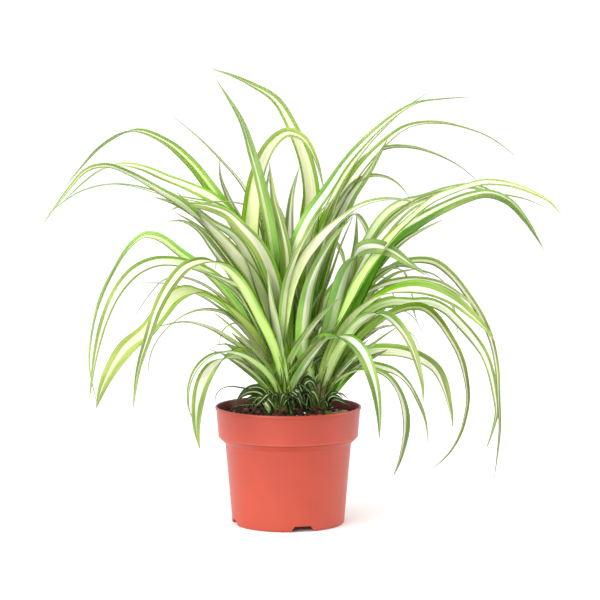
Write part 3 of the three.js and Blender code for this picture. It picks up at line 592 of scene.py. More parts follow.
class LeafFinish(Finish):
    """The finish of a leaf's upper side or underside, read from the leaf's own map.

    The map's whole number across is the leaf's look, and along it is the leaf's number."""

    def __init__(self, name, plain_values):
        super().__init__(name, plain_values)
        chart = self.add("UVMap", uv_map="leaf_map")
        parts = self.add("SeparateXYZ", chart.outputs["UV"])
        self.look = self.maths("FLOOR", parts.outputs[0])
        self.number = self.maths("FLOOR", parts.outputs[1])
        self.across = self.maths("FRACT", parts.outputs[0])
        self.along = self.maths("FRACT", parts.outputs[1])
        self.full_grown = self.maths("LESS_THAN", self.look, YOUNG - 0.5)

    def by_look(self, values):
        """A colour for each look, with the look's number as a share of them all."""
        share = self.maths("DIVIDE", self.maths("ADD", self.look, 0.5), len(LOOKS))
        stops = [(number / len(values), value) for number, value in enumerate(values)]
        return self.shades(share, stops, "CONSTANT").outputs

    def streaks(self, lines, stretch, detail):
        """Noise drawn out along the leaf, a different draw on every leaf."""
        drawn_out = zip((self.across, self.along, self.number), (lines, stretch, 7.31))
        place = self.add("CombineXYZ", *[self.maths("MULTIPLY", value, scale) for value, scale in drawn_out])
        return self.mottle(place.outputs[0], 1, detail)

    def down_the_leaf(self, low, high, low_gives=0.0, high_gives=1.0):
        """A share that changes along full-grown leaves. Young ones have none of it."""
        share = self.between(self.along, low, high, low_gives, high_gives)
        return self.maths("MULTIPLY", share, self.full_grown)

    def darkened(self, colour, shade):
        return self.mixed(1, colour, srgb(*shade), "MULTIPLY")


def leaf_surface(name, underside):
    """Green margins and a cream middle."""
    kit = LeafFinish(name, {
        "Roughness": 0.6 if underside else 0.48, "Specular IOR Level": 0.15, "Subsurface Weight": 0.8,
        "Subsurface Radius": (0.9, 0.95, 0.85), "Subsurface Scale": 2.2 * MM})
    along = kit.along
    from_middle = kit.maths("MULTIPLY_ADD", kit.across, 2, -1)
    off_middle = kit.maths("ABSOLUTE", from_middle)
    draw = kit.add("TexWhiteNoise", noise_dimensions="1D")
    kit.put(kit.number, draw.inputs["W"])
    luck = kit.add("SeparateColor", draw.outputs["Color"]).outputs
    margin = kit.by_look([srgb(*green) for green, _, _ in LOOKS.values()])["Color"]
    middles = kit.by_look([(*srgb(*middle)[:3], breadth) for _, middle, breadth in LOOKS.values()])
    middle, breadth = middles["Color"], middles["Alpha"]

    # The middle lies a little off the midrib, narrows to nothing at the tip, and fades out in fine lines.
    wander = kit.streaks(2.4, 4, 2)
    lines = kit.streaks(26, 2, 3)
    shift = kit.maths("MULTIPLY_ADD", luck[1], 0.5, -0.25)
    off_band = kit.maths("ABSOLUTE", kit.maths("ADD", from_middle, shift))
    reach = kit.maths("MULTIPLY", breadth, kit.between(along, 0.58, 1, 1, 0.1))
    reach = kit.maths("MULTIPLY", reach, kit.between(luck[0], 0, 1, 0.84, 1.16))
    edge = kit.maths("ADD", off_band, kit.maths("MULTIPLY_ADD", wander, 0.12, -0.06))
    edge = kit.maths("ADD", edge, kit.maths("MULTIPLY_ADD", lines, 0.14, -0.07))
    past_edge = kit.maths("SUBTRACT", edge, reach)
    outside = kit.between(past_edge, -0.04, 0.04)

    # Pale green threads run through the cream, and lighter ones through the green.
    threads = kit.streaks(40, 1.6, 1)
    cream = kit.mixed(kit.between(threads, 0.50, 0.66, 0, 0.5), middle, margin)
    cream = kit.mixed(kit.between(wander, 0.42, 0.62, 0, 0.38), cream, srgb(198, 204, 146))
    green = kit.mixed(kit.between(threads, 0.34, 0.46, 0.3, 0), margin, srgb(150, 188, 62))
    green = kit.mixed(kit.between(lines, 0.42, 0.60, 0, 0.65), green, kit.darkened(green, (204, 218, 170)))

    # Towards the tip the cream turns white and the green olive. Towards the crown both turn yellow-green and
    # lighter, partly the leaves' own colour and partly a painted lift that stands in for light in the shaded
    # heart of the crown.
    outer_part = kit.down_the_leaf(0.45, 0.8, 0, 0.6)
    cream = kit.mixed(outer_part, cream, srgb(218, 219, 204))
    green = kit.mixed(outer_part, green, srgb(100, 124, 24))
    crown_tint_and_painted_lift = kit.between(along, 0.1, 0.65, 0.65, 0)
    cream = kit.mixed(crown_tint_and_painted_lift, cream, srgb(190, 220, 122))
    green = kit.mixed(kit.maths("MULTIPLY", crown_tint_and_painted_lift, kit.full_grown), green, srgb(134, 200, 30))
    colour = kit.mixed(outside, cream, green)
    fringe = kit.between(kit.maths("ABSOLUTE", past_edge), 0, 0.08, 0.22, 0)
    colour = kit.mixed(fringe, colour, srgb(150, 180, 70))

    # The clasping base is pale, the midrib is a light thread, and the rim of the blade a hair of deep green.
    base = kit.mixed(kit.between(lines, 0.4, 0.6), srgb(136, 196, 36), srgb(210, 232, 138))
    colour = kit.mixed(kit.down_the_leaf(0, 0.55, 0.8, 0), colour, base)
    colour = kit.mixed(kit.between(off_middle, 0.03, 0.08, 0.3, 0), colour, srgb(206, 216, 150))
    lime_rim = kit.maths("MULTIPLY", kit.between(off_middle, 0.70, 0.84, 0, 0.38), kit.full_grown)
    colour = kit.mixed(lime_rim, colour, srgb(138, 168, 26))
    rim = kit.between(off_middle, 0.87, 0.94, 0, 0.85)
    colour = kit.mixed(rim, colour, kit.darkened(margin, (128, 118, 90)))

    # Older, outer parts are a little duller, and the tip itself is dry.
    colour = kit.mixed(kit.down_the_leaf(0.2, 0.6), colour, kit.darkened(colour, (245, 238, 250)))
    colour = kit.mixed(kit.down_the_leaf(0.4, 0.85, 0, 0.14), colour, srgb(198, 190, 166))
    colour = kit.mixed(kit.between(along, 0.975, 0.998, 0, 0.65), colour, srgb(140, 124, 84))
    if underside:
        bloom = kit.mixed(kit.between(lines, 0.35, 0.65), srgb(160, 178, 118), srgb(192, 202, 160))
        pale_below = kit.maths("MULTIPLY", kit.between(off_middle, 0.8, 0.95, 0.20, 0.04), kit.full_grown)
        colour = kit.mixed(pale_below, colour, bloom)

    # Slow patches along a leaf are painted lighter and darker, a painted sheen and painted shade standing in
    # for the light on its bends, and no two leaves are the same green.
    painted_light_patches = kit.streaks(1.3, 5, 1)
    painted_sheen = kit.maths("MULTIPLY", kit.between(painted_light_patches, 0.5, 0.68, 0, 0.2), kit.full_grown)
    colour = kit.mixed(painted_sheen, colour, srgb(204, 220, 124))
    colour = kit.mixed(kit.between(painted_light_patches, 0.34, 0.5, 0.5, 0), colour, kit.darkened(colour, (198, 212, 186)))
    hue = kit.add("HueSaturation")
    kit.put(kit.between(luck[1], 0, 1, 0.488, 0.512), hue.inputs["Hue"])
    kit.put(kit.between(luck[2], 0, 1, 0.93, 1.05), hue.inputs["Saturation"])
    kit.put(kit.between(luck[0], 0, 1, 0.97, 1.14), hue.inputs["Value"])
    kit.put(colour, hue.inputs["Color"])
    kit.put(hue.outputs[0], kit.surface.inputs["Base Color"])
    ribs = kit.maths("SINE", kit.maths("MULTIPLY", kit.across, 75))
    kit.relief(kit.maths("ADD", kit.maths("MULTIPLY", ribs, 0.3), lines), 0.35, 0.25)
    return kit.material


UPPER_SIDE = leaf_surface("leaf_upper_side", underside=False)
UNDERSIDE = leaf_surface("leaf_underside", underside=True)

# A leaf of a table: its look, its breadth in mm, how far back its tip lies or how far back each point lies,
# and the points of its route as (across, up) on the upright plane of the pot's axis, as seen from the eye.
# show says how far its upper side is turned to the front, in steps from root to tip. broadest is where along
# it the blade is broadest, and band moves its cream middle sideways.
Leaf = namedtuple("Leaf", "look breadth depth route show broadest band", defaults=(0.4, 0.35, 0))


def seen_at(across, up, depth):
    """The point on the line of sight through (across, up) on the upright plane of the pot's axis."""
    scale = 1 + depth / EYE_DISTANCE
    return Vector((across * scale, depth, up + (up - EYE_HEIGHT) * depth / EYE_DISTANCE))


def midrib(stand, leaf):
    """The points that a leaf's midrib passes, from inside the stock to the tip."""
    x, y = stand
    scale = 1 + y / EYE_DISTANCE
    root = (x / scale, (soil_height(x, y) + ROOT_OVER_SOIL + EYE_HEIGHT * (scale - 1)) / scale)
    route = [root, *leaf.route]
    travelled = [0.0]
    for before, after in zip(route, route[1:]):
        step = abs(after[0] - before[0]) + DEPTH_SHARE_OF_RISE * abs(after[1] - before[1])
        travelled.append(travelled[-1] + step)
    if isinstance(leaf.depth, list):
        depths = [y, *leaf.depth]
    else:
        depths = [y + leaf.depth * share / travelled[-1] for share in travelled]
    return [seen_at(across, up, depth) for (across, up), depth in zip(route, depths)]


def smooth_through(points):
    """Closely spaced points on a centripetal curve through the given ones."""
    ends = [points[0] * 2 - points[1], *points, points[-1] * 2 - points[-2]]
    fine = []
    for before, start, end, after in zip(ends, ends[1:], ends[2:], ends[3:]):
        gap_in = math.sqrt((start - before).length)
        gap = math.sqrt((end - start).length)
        gap_out = math.sqrt((after - end).length)
        leaving = ((start - before) / gap_in - (end - before) / (gap_in + gap) + (end - start) / gap) * gap
        coming = ((end - start) / gap - (after - start) / (gap + gap_out) + (after - end) / gap_out) * gap
        for step in range(STEPS_BETWEEN_POINTS):
            t = step / STEPS_BETWEEN_POINTS
            fine.append(start * (2 * t ** 3 - 3 * t ** 2 + 1) + end * (3 * t ** 2 - 2 * t ** 3)
                        + leaving * (t ** 3 - 2 * t ** 2 + t) + coming * (t ** 3 - t ** 2))
    fine.append(points[-1])
    return fine


def evenly(points, count):
    """The point and the direction at even steps along a curve of close points, and the curve's length."""
    lengths = [0.0]
    for before, after in zip(points, points[1:]):
        lengths.append(lengths[-1] + (after - before).length)
    places = []
    reached = 0
    for step in range(count + 1):
        wanted = lengths[-1] * step / count
        while reached < len(points) - 2 and lengths[reached + 1] < wanted:
            reached += 1
        share = (wanted - lengths[reached]) / max(1e-6, lengths[reached + 1] - lengths[reached])
        places.append(points[reached].lerp(points[reached + 1], min(1, share)))
    directions = []
    for step in range(count + 1):
        low, high = max(0, step - 1), min(count, step + 1)
        directions.append((places[high] - places[low]).normalized())
    return places, directions, lengths[-1]


def breadth_share(leaf, along):
    fall = max(0, (along - leaf.broadest) / (1 - leaf.broadest))
    taper = max(0, 1 - fall ** TAPER) ** 0.9
    return lerp(BASE_SHARE, 1, smoothstep(along, 0, leaf.broadest)) * taper


def shown(leaf, along):
    """How far the blade is turned to face the front: its upper side if more than 0, its underside if less."""
    if not isinstance(leaf.show, tuple):
        return leaf.show
    place = along * (len(leaf.show) - 1)
    step = min(int(place), len(leaf.show) - 2)
    return lerp(leaf.show[step], leaf.show[step + 1], place - step)


def blade(stand, leaf, number, station_gap, cells):
    """One leaf: a flat grid, drawn out along the midrib and folded up along it into a channel."""
    curve = smooth_through(midrib(stand, leaf))
    span = sum((after - before).length for before, after in zip(curve, curve[1:]))
    stations = max(FEWEST_STATIONS, min(MOST_STATIONS, round(span / station_gap)))
    places, directions, length = evenly(curve, stations)
    draw = random.Random(1000 + number)
    phase = draw.uniform(0, ANY_TURN)
    lean = draw.uniform(-MOST_LEAN, MOST_LEAN)
    face = Vector((places[0].x - places[-1].x, places[0].y - places[-1].y, 0)).normalized()
    light = Vector((0, -1, 0))
    frames = []
    for step in range(stations + 1):
        tangent = directions[step]
        face = (face - tangent * face.dot(tangent)).normalized()
        lit = light - tangent * light.dot(tangent)
        along = step / stations
        upper = (face + lit * (TURN_TO_LIGHT * face.dot(lit) + shown(leaf, along))).normalized()
        roll = math.radians(lean * smoothstep(along, 0.1, 0.6) + SWAY * math.sin(phase + 5 * along))
        upper = Matrix.Rotation(roll, 3, tangent) @ upper
        half = leaf.breadth / 2 * breadth_share(leaf, along)
        frames.append((places[step], tangent.cross(upper), upper, max(half, TIP_HALF_BREADTH), along))
    bpy.ops.mesh.primitive_grid_add(x_subdivisions=cells, y_subdivisions=stations, size=2)
    shape = bpy.context.object
    mesh = shape.data
    chart = mesh.uv_layers.active
    chart.name = "leaf_map"
    for loop in mesh.loops:
        corner = mesh.vertices[loop.vertex_index].co
        across = (corner.x + 1 - leaf.band * (1 - corner.x ** 2)) / 2
        chart.data[loop.index].uv = (leaf.look + ACROSS_MARGIN + (1 - 2 * ACROSS_MARGIN) * across,
                                     number + ALONG_MARGIN + (0.5 - ALONG_MARGIN) * (corner.y + 1))
    flat, full = math.sqrt(CREASE_ROUNDING), math.sqrt(1 + CREASE_ROUNDING)
    for vertex in mesh.vertices:
        side = vertex.co.x
        centre, sideways, upper, half, along = frames[round((vertex.co.y + 1) / 2 * stations)]
        fold = lerp(math.radians(FOLD_AT_BASE), math.radians(FOLD), smoothstep(along, 0.02, 0.3))
        rise = (math.sqrt(side * side + CREASE_ROUNDING) - flat) / (full - flat)
        wave = WAVE_SHARE * side * side * math.sin(phase + along * length / WAVE_LENGTH + 2 * side)
        out = half * math.cos(fold) * side
        raised = half * (math.sin(fold) * rise + wave)
        vertex.co = (centre + sideways * out + upper * raised) * MM
    return shape


def stock(stand, radius):
    """The short thick stem under the crown, a blunt taper in the soil with a low dome."""
    top = soil_height(*stand)
    foot = top - STOCK_DEPTH
    profile = [(AXIS_RADIUS, foot), (radius * 0.45, foot), (radius * 0.8, top - 15.6), (radius, top - 5)]
    dome = top + 1.6
    profile += [(radius, dome), (radius * 0.7, dome + radius * 0.4), (0.3, dome + radius * 0.6)]
    return turned("stock", profile, 20, stand)


def thickened(shapes, name, thickness):
    """Joins flat blades and gives them a thickness, with their undersides as the second material."""
    pick_up(*shapes)
    bpy.ops.object.join()
    piece = bpy.context.object
    piece.name = name
    piece.data.materials.clear()
    piece.data.materials.append(UPPER_SIDE)
    piece.data.materials.append(UNDERSIDE)
    flesh = piece.modifiers.new("flesh", "SOLIDIFY")
    flesh.thickness = thickness * MM
    flesh.offset = 0
    flesh.material_offset = 1
    bpy.ops.object.modifier_apply(modifier=flesh.name)
    return piece


def grow(name, stand, stock_radius, leaves, first_number, station_gap=4.2, cells=8, thickness=0.5,
         stock_look=DRY):
    """A whole plant: its leaves and its stock, as one piece that stands for the plain solid of that name."""
    start_fresh()
    numbered = enumerate(leaves, first_number)
    shapes = [blade(stand, leaf, number, station_gap, cells) for number, leaf in numbered]
    plant = thickened(shapes, name + "_leaves", thickness)
    stem = stock(stand, stock_radius)
    stem.data.materials.append(UPPER_SIDE)
    for loop in stem.data.uv_layers.new(name="leaf_map").data:
        loop.uv = (stock_look + 0.15, first_number + 0.45)
    pick_up(plant, stem)
    bpy.ops.object.join()
    bpy.ops.object.transform_apply(location=True, rotation=True, scale=True)
    bpy.ops.object.shade_smooth_by_angle(angle=math.radians(50))
    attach(plant, "root")
    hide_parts(name)


def inner_leaves(stand, count, lean_left, lean_right, shortest, longest, seed):
    """The young upright leaves in a crown's heart, which fill it between the full-grown ones."""
    draw = random.Random(seed)
    leaves = []
    for number in range(count):
        lean = math.radians(lerp(lean_left, lean_right, (number + draw.random()) / count))
        length = draw.uniform(shortest, longest) * (1 - 0.5 * abs(math.sin(lean)))
        bow = draw.uniform(0.06, 0.2) * (1 if lean > 0 else -1)
        foot = stand[0] + draw.uniform(-4, 4)
        route = []
        for share in (0.25, 0.5, 0.75, 1):
            angle = lean + bow * share * 2
            route.append((foot + length * share * math.sin(angle), 96 + length * share * math.cos(angle)))
        look = draw.choice((FRESH, BRIGHT, MEADOW, PALE, LIME, DEEP, CREAM))
        leaves.append(Leaf(look, draw.uniform(9, 15), draw.uniform(-18, 22), route,
                           show=draw.uniform(-0.6, 1.4), broadest=0.3))
    return leaves


LEFT_STAND = (-3, 0)
ROSETTE_LEFT_LEAVES = [
    Leaf(LIME, 13.5, 130, [(-8, 150), (-20, 195), (-40, 241), (-62, 273), (-80, 296), (-100, 313),
         (-126, 322), (-151, 310), (-169, 292), (-181, 278)], show=(1, 1.2, 0.3, 0.1), band=0.35),
    Leaf(FRESH, 14, 95, [(-8, 150), (-22, 200), (-42, 245), (-60, 265), (-80, 275.5), (-100, 283.5),
         (-120, 292), (-136, 294.5), (-151, 291), (-167, 280), (-182, 266)], show=(0.9, 0.7, 0.5), band=0.3),
    Leaf(BRIGHT, 7, 90, [(-7, 150), (-14, 195), (-27, 232), (-42, 250), (-58, 261.5), (-76, 265.5),
         (-100, 270), (-125, 277), (-144, 279), (-168, 273.5), (-188, 261), (-200, 250)],
         show=(0.6, 0.3, 0.1)),
    Leaf(MEADOW, 15, -75, [(-10, 135), (-27, 182), (-45, 213), (-65, 240), (-85, 260), (-105, 272.5),
         (-130, 287), (-148, 293.5), (-164, 290), (-180, 273), (-200, 247)], show=(0.8, 1.2, 1.3, 0.2),
         broadest=0.3, band=0.3),
    Leaf(FRESH, 4, 30, [(-4, 150), (-9, 200), (-15, 240), (-26, 258), (-40, 263.5), (-58, 265), (-78, 263)],
         show=0.8),
    Leaf(PALE, 15, -25, [(-9, 140), (-20, 180), (-34, 219), (-46, 237), (-61, 247), (-73, 257), (-85, 267),
         (-91, 273)], show=(0.5, 1.4, 1.2)),
    Leaf(LIME, 11, 10, [(-10, 150), (-20, 185), (-33, 208), (-44, 224), (-53, 236)], show=1),
    Leaf(PALE, 21, 30, [(-6, 140), (-17, 185), (-30, 228), (-29, 262), (-24, 290), (-14, 311), (-1, 321),
         (12, 316.5), (22, 300), (30, 272)], show=(0.8, 0.8, 0.6, -0.6), broadest=0.2),
    Leaf(LIME, 15, 8, [(-5, 150), (-9, 195), (-15, 240), (-22, 275), (-30, 305), (-38, 330), (-58, 364)],
         show=1.2),
    Leaf(OLIVE, 5, 60, [(-5, 150), (-12, 200), (-24, 250), (-38, 279), (-55, 299), (-75, 319), (-92, 333)]),
    Leaf(GREY, 12, 85, [(-6, 150), (-18, 200), (-36, 242), (-49, 268), (-55, 285), (-56, 299)], show=1.2),
    Leaf(LIME, 15, 8, [(-3, 150), (-2, 190), (-2, 222), (-7, 248), (-12, 268), (-15.5, 297)], show=1.4),
    Leaf(CREAM, 18, -60, [(-4, 135), (-1, 165), (5, 195), (16, 219), (30, 236), (46, 251), (58, 260),
         (74, 265.5), (90, 266.5), (106, 264)], show=(2, 1.8, 0.4)),
    Leaf(SILVER, 13, -15, [(-12, 140), (-30, 175), (-47, 205), (-62, 226), (-74, 242), (-86, 249),
         (-98, 249)], show=(1, 1.3, 1.6)),
    Leaf(OLIVE, 11, -150, [(-10, 138), (-24, 171), (-40, 199), (-54, 212), (-68, 215.5), (-84, 210.5),
         (-96, 197), (-107, 177), (-115, 153), (-123, 127), (-128, 92)], show=(0.4, 0.2, 0.9, 1),
         broadest=0.55, band=0.25),
    Leaf(MEADOW, 10, 40, [(-18, 140), (-42, 178), (-66, 206), (-88, 222), (-104, 234), (-116, 236.5),
         (-128, 228), (-142, 207), (-154, 181), (-161, 152), (-162.5, 128), (-157, 97)], show=(0.3, 0.4, 0.9),
         broadest=0.62),
    Leaf(GREY, 12, -35, [(-14, 135), (-32, 174), (-52, 197), (-72, 209), (-92, 214.5), (-110, 214),
         (-126, 206), (-140, 189), (-150, 167), (-157, 142), (-163.5, 103)], show=(0.5, 0.6, 1.2, 1.2),
         broadest=0.6),
    Leaf(PALE, 17.5, -75, [(-12, 127), (-28, 153), (-48, 174), (-66, 186.5), (-80, 190), (-93, 184.5),
         (-104, 171), (-115, 157), (-131, 144), (-143, 128), (-152, 111), (-158, 95)],
         show=(1.7, 1.5, 0.4, 0.5, 1.2), broadest=0.8),
    Leaf(GREY, 5, 12, [(-20, 145), (-42, 173), (-62, 188), (-78, 193.5), (-92, 191), (-106, 180)]),
    Leaf(FRESH, 4, -5, [(-22, 140), (-44, 166), (-64, 183), (-80, 191.5), (-98, 197.5), (-121, 198.5)]),
    Leaf(OLIVE, 4, 25, [(-22, 148), (-46, 178), (-68, 196), (-88, 203), (-102, 200.5), (-114, 188),
         (-125, 172)]),
    Leaf(GREY, 5, 30, [(-16, 132), (-34, 158), (-52, 173), (-70, 176), (-86, 171), (-100, 160), (-110, 146),
         (-114.5, 131), (-113.5, 119)]),
    Leaf(PALE, 7, 8, [(-14, 122), (-30, 138), (-48, 151), (-66, 161.5), (-84, 166), (-97, 164.5),
         (-110, 161.5)]),
    Leaf(FRESH, 5, 20, [(-14, 135), (-28, 155), (-40, 164.5), (-49, 163.5), (-55, 156), (-56.5, 147)]),
    Leaf(GREY, 7, -10, [(-14, 124), (-28, 137), (-42, 144.5), (-52, 147.8), (-61, 147)], show=(0.1, 0.3)),
    Leaf(BRIGHT, 16, [10, 5, -8, -28, -50, -70, -86, -98, -106], [(-12, 120), (-26, 133), (-40, 138.5),
         (-53, 135), (-64, 124), (-71, 109), (-74.5, 92), (-75, 76), (-72.5, 60)], show=(0.1, 0.4, 0.9, 0.9),
         broadest=0.6),
    Leaf(GREY, 7, -70, [(-14, 119), (-32, 135), (-50, 141), (-66, 136.5), (-77, 125), (-82, 110), (-82, 96),
         (-78.5, 85)], show=(0.1, 0.3)),
    Leaf(BRIGHT, 14, [2, 7, 5, -14, -42, -60, -72, -80, -86, -90, -92], [(5, 124), (12, 137), (22, 147.5),
         (35, 153), (48, 151.5), (59, 142), (66, 128), (71, 112), (74, 94), (75, 80), (75, 69)],
         show=(1, 1.2, 1), broadest=0.55),
    Leaf(BRIGHT, 12, 120, [(-6, 150), (-16, 195), (-33, 228), (-46, 235), (-56, 226), (-60, 208)], show=1.4),
    Leaf(BRIGHT, 16, -40, [(-5, 130), (-3, 165), (0, 195), (7, 219), (17, 240), (28, 258), (39, 268)],
         show=1.6),
    Leaf(FRESH, 18, -30, [(-6, 150), (-13, 195), (-25, 225), (-40, 243), (-51, 254), (-63, 259), (-74, 261.5),
         (-85, 262), (-95.5, 258.5)], show=(1.4, 2.4, 2), broadest=0.5, band=0.45),
    Leaf(LIME, 11, 20, [(-8, 150), (-20, 190), (-36, 220), (-47, 238)], show=1.2),
    Leaf(MEADOW, 12, 12, [(-10, 145), (-24, 183), (-42, 211), (-55, 232)], show=1),
    Leaf(PALE, 13, 30, [(-8, 145), (-20, 180), (-38, 206), (-54, 222), (-66, 236)], show=1.2),
    Leaf(PALE, 17, -40, [(-10, 138), (-28, 196), (-45, 220), (-61, 239), (-73, 251), (-87, 260), (-99, 265.5),
         (-109, 268.5)], show=(2.4, 2.2, 1.4), broadest=0.45, band=0.15),
    Leaf(FRESH, 9, -10, [(-10, 140), (-30, 185), (-50, 218), (-66, 238), (-80, 249), (-92, 256)], show=1.4,
         broadest=0.5),
    Leaf(PALE, 13, -45, [(-8, 130), (-20, 165), (-34, 190), (-56, 202), (-72, 208), (-81, 210.5)],
         show=(1.6, 1.4, 1)),
    Leaf(LIME, 9, 22, [(-8, 150), (-16, 200), (-19.5, 254), (-18, 274), (-14.8, 294)], show=1.2),
    Leaf(OLIVE, 10, 15, [(-8, 145), (-22, 188), (-40, 222), (-54, 238), (-68, 250)], show=1),
    Leaf(CREAM, 18, -30, [(-10, 120), (-24, 142), (-38, 160), (-52, 174), (-61, 182)], show=(1.8, 1.6, 1)),
    Leaf(MEADOW, 15, -26, [(-9, 122), (-20, 150), (-33, 176), (-44, 194), (-52, 203)], show=(1.8, 1.6, 1)),
    Leaf(PALE, 15, -20, [(-7, 125), (-11, 155), (-15, 185), (-17, 210)], show=1.8),
    *inner_leaves(LEFT_STAND, 22, -38, 26, 70, 128, seed=3),
]
grow("rosette_left", LEFT_STAND, 8, ROSETTE_LEFT_LEAVES, 1)


# The right rosette: a second full-grown plant, close behind the first, whose leaves go right and droop.
# It is one plant of leaves and stock like the left one, rooted in the soil near the pot's right side.
RIGHT_STAND = (26, 19)
ROSETTE_RIGHT_LEAVES = [
    Leaf(BRIGHT, 17, -70, [(29, 135), (36, 165), (44, 195), (51, 213), (60, 225), (72, 227.5), (85, 223.5),
         (98, 215), (112, 205)], show=(-1.6, -1.2, 0.4, 2.2, 2.2), broadest=0.6),
    Leaf(MEADOW, 18, -150, [(34, 140), (50, 178), (68, 211), (86, 234), (104, 252), (120, 265), (137, 272.5),
         (158, 279), (180, 278), (200, 271.5), (214, 264), (223, 254)], show=(1.4, 2, 1.2, 0.3), band=-0.35),
    Leaf(DEEP, 18, -95, [(36, 140), (54, 178), (72, 213), (88, 234), (106, 246), (126, 257.5), (148, 267),
         (164, 270), (180, 264), (194, 249), (209, 226)], show=(1.2, 2.6, 1.6, 0.4), broadest=0.45,
         band=-0.45),
    Leaf(FRESH, 12, 20, [(34, 145), (50, 190), (66, 232), (77, 250), (90, 261), (110, 267), (130, 274),
         (150, 277), (166, 272), (182, 262), (199, 240)], show=(1.2, 1, 0.8)),
    Leaf(GREY, 18, -15, [(36, 145), (54, 187), (72, 226), (88, 248), (102, 260), (114, 265.5), (126, 269)],
         show=1.5, band=-0.3),
    Leaf(FRESH, 6, 12, [(34, 150), (52, 200), (76, 243), (100, 263), (125, 272.5), (148, 276), (164, 272),
         (182, 269.5), (195, 266.5), (208, 261)], show=0.8),
    Leaf(BRIGHT, 15, -110, [(34, 130), (46, 158), (60, 176), (76, 187), (92, 192.5), (108, 193.5),
         (124, 189.5), (139, 181.5), (152, 170.5), (162, 160.5), (170, 149.5)], show=(0.8, 0.8, 1.6),
         broadest=0.6),
    Leaf(SILVER, 12, -45, [(30, 135), (42, 165), (56, 183), (72, 193), (88, 198.5), (106, 200.5),
         (124, 197.5), (138, 190), (150, 181), (158, 170)], show=0.8),
    Leaf(OLIVE, 9.5, -25, [(34, 140), (50, 172), (70, 198), (90, 212.5), (106, 216), (120, 214), (134, 203),
         (146, 188), (157, 171), (166, 151), (171, 128), (172.5, 104), (174, 80), (172.5, 58), (170, 36)],
         show=0.8),
    Leaf(GREY, 5, 15, [(34, 145), (50, 180), (70, 203), (90, 211.5), (108, 208.5), (121, 204), (132, 194),
         (141, 186)]),
    Leaf(OLIVE, 11, -20, [(38, 126), (52, 145), (68, 160), (84, 171.5), (98, 177), (110, 177), (120, 169.5),
         (131, 154.5), (140, 138), (145, 120), (147, 102), (145, 87), (141, 73), (132, 57), (118, 43.5)],
         show=1),
    Leaf(BRIGHT, 11, -95, [(33, 122), (44, 146), (57, 164), (70, 172), (81, 170.5), (92, 160.5), (101, 146),
         (107, 128), (110.5, 112), (111, 99)], broadest=0.55),
    Leaf(SILVER, 13, 25, [(36, 118), (48, 132), (62, 140.5), (78, 142.5), (95, 140.5), (110, 134.5),
         (120, 127), (127, 114), (131.5, 99), (134.5, 87), (135.5, 79)], show=1.6, broadest=0.72),
    Leaf(GREY, 11, -15, [(36, 112), (46, 121), (58, 126), (70, 125.5), (81, 120), (89, 109.5), (94, 96),
         (95.7, 80), (94, 64), (91, 50), (87, 39)], broadest=0.7),
    Leaf(SILVER, 10, 45, [(34, 112), (46, 124), (60, 130), (74, 128.5), (88, 123.5), (98, 114), (105, 101.5),
         (111, 88), (114, 76), (115, 65)], show=1.5, broadest=0.72),
    Leaf(FRESH, 4, 30, [(34, 125), (50, 145), (68, 158), (85, 163), (97, 159.5), (104, 153), (108, 144)]),
    Leaf(FRESH, 4, 35, [(34, 130), (50, 158), (68, 174), (84, 178), (97, 174), (105, 167), (110, 157)]),
    Leaf(SILVER, 11, 0, [(36, 130), (52, 158), (68, 175), (84, 181.5), (102, 181), (116, 181), (128, 175.5),
         (140, 164), (151, 151.5), (160, 138.5), (165.5, 124), (169, 108), (171, 92), (168, 76), (163, 60)],
         show=1.2, broadest=0.64),
    Leaf(FRESH, 8, 60, [(38, 140), (58, 172), (82, 193), (106, 199), (124, 193), (134, 180), (138, 166),
         (138.5, 150)]),
    Leaf(FRESH, 7, 55, [(36, 140), (52, 175), (70, 200), (84, 210), (94, 207.5), (99, 196), (102, 185),
         (104, 174)]),
    Leaf(FRESH, 5, 50, [(36, 140), (50, 175), (64, 196), (75, 203), (82, 200), (86, 188), (88, 175)]),
    Leaf(FRESH, 8, -20, [(34, 140), (48, 172), (62, 194), (75, 207), (90, 213), (104, 211.5), (116, 204)],
         show=1.2),
    Leaf(BRIGHT, 16, [6, -6, -12, -16, -20, -24, -28], [(19, 120), (13.5, 145), (14, 170), (19, 198),
         (28, 220), (38, 236), (52, 252)], show=1.6),
    Leaf(LIME, 14.5, -12, [(22, 120), (23, 150), (28, 183), (36, 206), (44, 230), (53, 253)], show=1.2),
    Leaf(LIME, 12, 5, [(30, 125), (38, 160), (48, 195), (55, 225), (56, 256)], show=2),
    Leaf(MEADOW, 9, 95, [(36, 130), (54, 160), (72, 180), (88, 186), (100, 180), (106, 166)]),
    Leaf(DRY, 6, -24, [(24, 104), (24.5, 113), (28, 120)], show=1),
    Leaf(DRY, 5, -22, [(28, 102), (29, 110), (31.5, 114)], show=1),
    Leaf(PALE, 2.5, -26, [(20, 108), (22.5, 119.5), (26, 123.5), (30, 125)]),
    Leaf(FRESH, 12, 25, [(34, 145), (48, 185), (62, 222), (75, 247), (88, 260)], show=1.4),
    Leaf(MEADOW, 14, 10, [(36, 140), (54, 180), (72, 212), (90, 232), (108, 246)], show=1),
    Leaf(LIME, 9, 5, [(36, 140), (52, 170), (70, 192), (88, 206), (106, 210)], show=1),
    Leaf(MEADOW, 16, -8, [(20, 130), (26, 165), (31, 195), (37, 220), (44, 245)], show=1.2),
    Leaf(PALE, 12, -4, [(36, 140), (56, 184), (76, 214), (94, 232), (112, 243), (126, 250)], show=1.2),
    *inner_leaves(RIGHT_STAND, 26, -28, 33, 66, 128, seed=5),
]
grow("rosette_right", RIGHT_STAND, 8, ROSETTE_RIGHT_LEAVES, 101)


